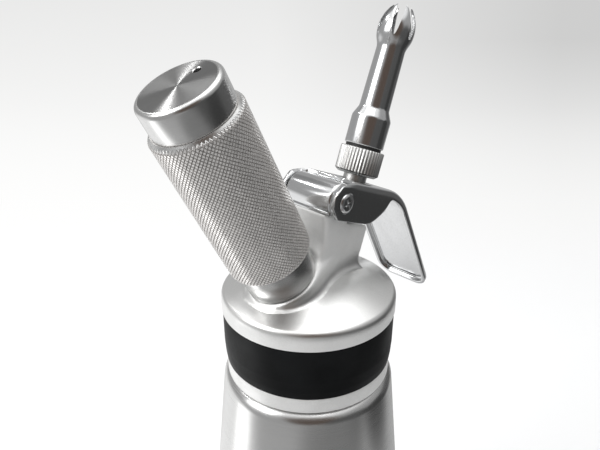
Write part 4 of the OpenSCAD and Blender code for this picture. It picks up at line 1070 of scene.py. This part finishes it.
class BuildPivot(bpy.types.Operator):
    """Polished bar with its flat foot, and the cross-slotted screws at its ends"""

    bl_idname = "dispenser.pivot"
    bl_label = "Pivot"

    def execute(self, context):
        polished = finish("polished steel", colours().chrome, 0.13, ACROSS, (900, 900, 60), 0.04, 0.06)
        edge = sizes().barrel_round / MM
        bm = bmesh.new()
        lathe(bm, rounded([(BAR_BORE_R, -BAR_HALF, 0), (BAR_R, -BAR_HALF, edge), (BAR_R, BAR_HALF, edge),
                           (BAR_BORE_R, BAR_HALF, 0)], steps=6), 96, closed=True)
        barrel = object_from(bm, "pivot_bar", ACROSS, 45)
        # The bar is cut flat where it stands on its foot plate.
        carve(barrel, object_from(block((14, 24, 4)), "flat_cutter", under_pivot(BAR_DROP + 2)))
        bm = block((11.8, 19.8, BAR_FOOT))
        bmesh.ops.bevel(bm, geom=list(bm.edges), offset=0.2, offset_type="OFFSET", affect="EDGES", segments=2,
                        profile=0.5, material=-1)
        join(barrel, object_from(bm, "bar_foot", under_pivot(BAR_DROP - BAR_FOOT / 2)))
        dress(barrel, "head", "polished_steel", polished, "pivot_barrel")
        self.screws()
        return {"FINISHED"}

    def screws(self):
        """One cross-slotted screw, set at each end of the bar."""
        screw_steel = finish("screw steel", colours().chrome, 0.14, ACROSS, (1500, 1500, 1500), 0.06)
        bm = bmesh.new()
        lathe(bm, SCREW_OUTLINE, 48)
        screw = object_from(bm, "pivot_screw", AS_IT_IS, 40)
        for turn in (20, 110):
            cross = block((4.0, 0.75, 2.0), (0, 0, 1.75))
            bmesh.ops.rotate(cross, cent=(0, 0, 0), matrix=Matrix.Rotation(math.radians(turn), 3, "Z"),
                             verts=cross.verts)
            carve(screw, object_from(cross, "cross_cutter", AS_IT_IS))
        both = bmesh.new()
        for turn in (HALF, 0):
            had = set(both.verts)
            both.from_mesh(screw.data)
            place = ACROSS @ Matrix.Rotation(turn, 4, "Y") @ Matrix.Translation((0, 0, SCREW_SEAT * MM))
            bmesh.ops.transform(both, matrix=place, verts=[v for v in both.verts if v not in had])
        mark_sharp(both, 35)
        both.to_mesh(screw.data)
        both.free()
        screw.name = "pivot_screw_pair"
        dress(screw, "lever", "screw_steel", screw_steel, "pivot_screws")


# ---------------------------------------------------------------- valve and nozzle

# The fluted ring, and the spring and collar under it, along the stem's axis, in millimetres.
FLUTED_LOW, FLUTED_TOP, FLUTED_R, FLUTES, FLUTE_DIP = 9.4, 18.8, 7.9, 42, 0.27
FLUTED_PROFILE = ((0, 0.835), (0.55, 0.93), (1.04, 1.0), (9.0, 1.0), (9.3, 0.985), (9.4, 0.955))
SPRING_LOW, SPRING_TOP, SPRING_R, CURLS, CURL_STEPS = -13.6 + 1.2 + 0.05, 2.6 - 0.05, 4.9 - 0.35 - 0.45, 6, 28
STEM_BORE_R, COLLAR_LOW, COLLAR_HIGH = 3.02, 2.6, 5.8


class BuildValve(bpy.types.Operator):
    """Fluted adapter ring, push collar and wound spring on the leaning valve"""

    bl_idname = "dispenser.valve"
    bl_label = "Valve"

    def execute(self, context):
        self.adapter()
        self.spring()
        bm = bmesh.new()
        lathe(bm, rounded([(STEM_BORE_R, COLLAR_LOW, 0), (5.9, COLLAR_LOW, 0.6), (5.9, COLLAR_HIGH, 0.5),
                           (STEM_BORE_R, COLLAR_HIGH, 0)], steps=4), 72, closed=True)
        collar = object_from(bm, "valve_collar", ON_STEM, 40)
        chrome = finish("collar chrome", colours().chrome, 0.16, ON_STEM, (300, 300, 3000), spread=0.06)
        dress(collar, "stem", "turned_steel", chrome, "push_collar")
        return {"FINISHED"}

    def adapter(self):
        satin = finish("fluted satin chrome", colours().fluted, 0.36, ON_STEM, (700, 700, 200), 0.06, 0.10, 0.06)
        bm = bmesh.new()
        ring = bmesh.ops.create_circle(bm, cap_ends=True, segments=FLUTES * 8, radius=FLUTED_R)["verts"]
        for v in ring:
            turn = math.atan2(v.co.y, v.co.x) * FLUTES / WHOLE % 1.0
            dip = FLUTE_DIP * max(0.0, math.cos((turn - 0.5) * WHOLE) * 0.5 + 0.35) / 0.85
            v.co *= (FLUTED_R - dip) / FLUTED_R
        height, wide = FLUTED_PROFILE[0]
        bmesh.ops.translate(bm, vec=(0, 0, FLUTED_LOW), verts=ring)
        bmesh.ops.scale(bm, vec=(wide, wide, 1), verts=ring)
        layer = list(bm.faces)
        for next_height, next_wide in FLUTED_PROFILE[1:]:
            grown = bmesh.ops.extrude_face_region(bm, geom=layer)["geom"]
            more = next_wide / wide
            bmesh.ops.translate(bm, vec=(0, 0, next_height - height), verts=verts_of(grown))
            bmesh.ops.scale(bm, vec=(more, more, 1), verts=verts_of(grown))
            layer = [f for f in grown if isinstance(f, bmesh.types.BMFace)]
            height, wide = next_height, next_wide
        bmesh.ops.recalc_face_normals(bm, faces=bm.faces)
        # The neck under the ring, and the threaded end over it.
        for inner, outer, low, high in ((STEM_BORE_R, 4.2, 5.82, FLUTED_LOW + 0.2),
                                        (1.7, 4.9, FLUTED_TOP - 0.2, FLUTED_TOP + 7.2)):
            lathe(bm, [(inner, low), (outer, low), (outer, high), (inner, high)], 64, closed=True)
        adapter = object_from(bm, "fluted_adapter", ON_STEM, 40)
        dress(adapter, "stem", "fluted_steel", satin, "adapter_ring")

    def spring(self):
        bright = finish("spring wire", colours().steel, 0.22, ON_STEM, (2500, 2500, 2500), bump=0.04)
        low, high, wire = SPRING_LOW, SPRING_TOP, sizes().spring_wire / MM
        bm = bmesh.new()
        section = bmesh.ops.create_circle(bm, segments=10, radius=wire / 2)["verts"]
        bmesh.ops.rotate(bm, cent=(0, 0, 0), matrix=Matrix.Rotation(QUARTER, 3, "X"), verts=section)
        bmesh.ops.translate(bm, vec=(SPRING_R, 0, low + wire / 2), verts=section)
        steps = CURLS * CURL_STEPS
        ring_edges = list(bm.edges)
        bm.faces.new(section)
        bmesh.ops.spin(bm, geom=ring_edges, cent=(0, 0, 0), axis=(0, 0, 1), dvec=(0, 0, (high - low - wire) / steps),
                       angle=WHOLE * CURLS, steps=steps, use_merge=False, use_duplicate=False)
        bmesh.ops.contextual_create(bm, geom=[e for e in bm.edges if e.is_boundary])
        bmesh.ops.remove_doubles(bm, verts=bm.verts, dist=1e-4)
        bmesh.ops.recalc_face_normals(bm, faces=bm.faces)
        spring = object_from(bm, "wound_spring", ON_STEM, 50)
        dress(spring, "head", "spring_steel", bright, "valve_spring")
        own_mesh(spring)


# The nozzle along the stem's axis: its waist, crown, inside and the flank of the slots between its points.
NOZZLE_FOOT, SLOPE_LOW, SLOPE_HIGH, NOZZLE_STEPS = 19.8, 30.8, 33.9, 120
CROWN = [(5.12, 54.6), (5.35, 55.5), (5.75, 56.5), (6.15, 57.6), (6.4, 58.8), (6.5, 60.2), (6.45, 61.6), (6.2, 63.2),
         (5.7, 64.9), (4.95, 66.5), (4.1, 67.9), (3.1, 69.0)]
CROWN_WALL = 1.1
SLOT_FOOT = (0.0, 58.0)
SLOT_FLANK = [(0.25, 58.08), (0.5, 58.3), (0.8, 59.0), (1.1, 60.2), (1.4, 62.4), (1.55, 65.5), (1.5, 70.5)]
# The slot's outline stands along the nozzle, and its cutter points outwards.
OUTWARDS = Matrix(((0, 0, 1, 0), (1, 0, 0, 0), (0, 1, 0, 0), (0, 0, 0, 1)))


class BuildNozzle(bpy.types.Operator):
    """Chromed nozzle with a tulip crown of six points"""

    bl_idname = "dispenser.nozzle"
    bl_label = "Nozzle"

    def execute(self, context):
        chrome = finish("nozzle chrome", colours().chrome, colours().chrome_roughness + 0.08, ON_STEM,
                        (500, 500, 120), 0.03, 0.06, 0.03)
        outside = rounded([(5.0, NOZZLE_FOOT, 0), (7.0, NOZZLE_FOOT, 0.5), (7.0, SLOPE_LOW - 0.9, 2.6),
                           (5.4, SLOPE_HIGH - 0.6, 2.6), (5.06, 54.0, 0)], steps=6)
        inside = [(2.2, 68.8)] + [(r - CROWN_WALL, z) for r, z in reversed(CROWN[:-1])]
        inside += [(4.2, 54.0), (4.0, SLOPE_HIGH), (4.0, 28.8), (4.96, 28.8), (4.96, NOZZLE_FOOT)]
        bm = bmesh.new()
        lathe(bm, outside + CROWN + inside, NOZZLE_STEPS, closed=True)
        # Turned by half a step: a slot that cuts along the mesh's own lines loses faces in some runs.
        nozzle = object_from(bm, "tulip_nozzle", ON_STEM @ Matrix.Rotation(HALF / NOZZLE_STEPS, 4, "Z"), 40)
        wedge = [SLOT_FOOT] + SLOT_FLANK + [(-across, along) for across, along in reversed(SLOT_FLANK)]
        for i in range(6):
            bm = bmesh.new()
            prism(bm, wedge, 0.5, 9.0)
            turned = Matrix.Rotation(math.radians(60 * i + 30), 4, "Z") @ OUTWARDS
            bmesh.ops.transform(bm, verts=bm.verts, matrix=turned)
            carve(nozzle, object_from(bm, "crown_cutter", ON_STEM))
        soften(nozzle, 0.00016, 40)
        dress(nozzle, "nozzle", "chromed_nozzle", chrome, "nozzle_tip")
        return {"FINISHED"}


# ---------------------------------------------------------------- pieces that keep their CAD mesh

class FinishInside(bpy.types.Operator):
    """Finishes of the pieces inside, which keep their CAD shape"""

    bl_idname = "dispenser.inside"
    bl_label = "Inner pieces"

    def execute(self, context):
        grain = dict(stretch=(600, 600, 600), contrast=0.08, spread=0.10, bump=0.06)
        skin = dict(effect_name="blasted skin", metallic=0.0, contrast=0.10, spread=0.12, bump=0.15, height=0.00002,
                    pebble=2500.0)
        makers = {
            "white silicone": ((0.80, 0.79, 0.75), 0.45, skin, ["head_gasket"]),
            "seal rubber": ((0.02, 0.02, 0.02), 0.5, skin, ["pin_seal", "stem_o_rings", "valve_seal", "nozzle_washer"]),
            "red silicone": ((0.55, 0.05, 0.03), 0.4, skin, ["check_valve"]),
            "white nylon": ((0.78, 0.77, 0.72), 0.35, skin, ["guide_bush", "pivot_washers"]),
            "brass": ((0.70, 0.52, 0.25), 0.24, grain, ["charger_stud"]),
            "hardened steel": ((0.42, 0.42, 0.43), 0.2, grain, ["piercing_pin"]),
            "zinc plated steel": ((0.60, 0.61, 0.63), 0.32, grain, ["gas_charger"]),
            "ground steel": ((0.58, 0.58, 0.58), 0.18, grain, ["pivot_pin", "valve_stem"]),
            "nut steel": ((0.56, 0.56, 0.55), 0.3, grain, ["valve_nut"]),
        }
        for name, (base, roughness, look, nodes) in makers.items():
            material = finish(name, base, roughness, **look)
            for node in nodes:
                repaint(node, material)
        return {"FINISHED"}


# ---------------------------------------------------------------- panel and run

class DispenserPanel(bpy.types.Panel):
    """Lists the dispenser's sizes, colours and builders"""

    bl_idname = "DISPENSER_PT_panel"
    bl_label = "Whipped cream dispenser"
    bl_space_type = "VIEW_3D"
    bl_region_type = "UI"
    bl_category = "Dispenser"

    def draw(self, context):
        column = self.layout.column()
        for group in (context.scene.dispenser_sizes, context.scene.dispenser_colours):
            for key in group.__annotations__:
                column.prop(group, key)
        for builder in BUILDERS:
            column.operator(builder.bl_idname)


BUILDERS = (BuildStage, BuildBottle, BuildHead, BuildBand, BuildHolder, BuildLever, BuildPivot, BuildValve,
            BuildNozzle, FinishInside)
CLASSES = (DispenserSizes, DispenserColours, *BUILDERS, DispenserPanel)


def register():
    for cls in CLASSES:
        bpy.utils.register_class(cls)
    bpy.types.Scene.dispenser_sizes = bpy.props.PointerProperty(type=DispenserSizes)
    bpy.types.Scene.dispenser_colours = bpy.props.PointerProperty(type=DispenserColours)


def unregister():
    del bpy.types.Scene.dispenser_colours
    del bpy.types.Scene.dispenser_sizes
    for cls in reversed(CLASSES):
        bpy.utils.unregister_class(cls)


def main():
    register()
    EFFECTS.update({"drawn grain": drawn_grain(), "blasted skin": blasted_skin(), "lathe marks": lathe_marks()})
    bpy.ops.dispenser.stage()
    bpy.ops.dispenser.bottle()
    bpy.ops.dispenser.head()
    bpy.ops.dispenser.band()
    bpy.ops.dispenser.holder()
    bpy.ops.dispenser.lever()
    bpy.ops.dispenser.pivot()
    bpy.ops.dispenser.valve()
    bpy.ops.dispenser.nozzle()
    bpy.ops.dispenser.inside()


if __name__ == "__main__":
    main()
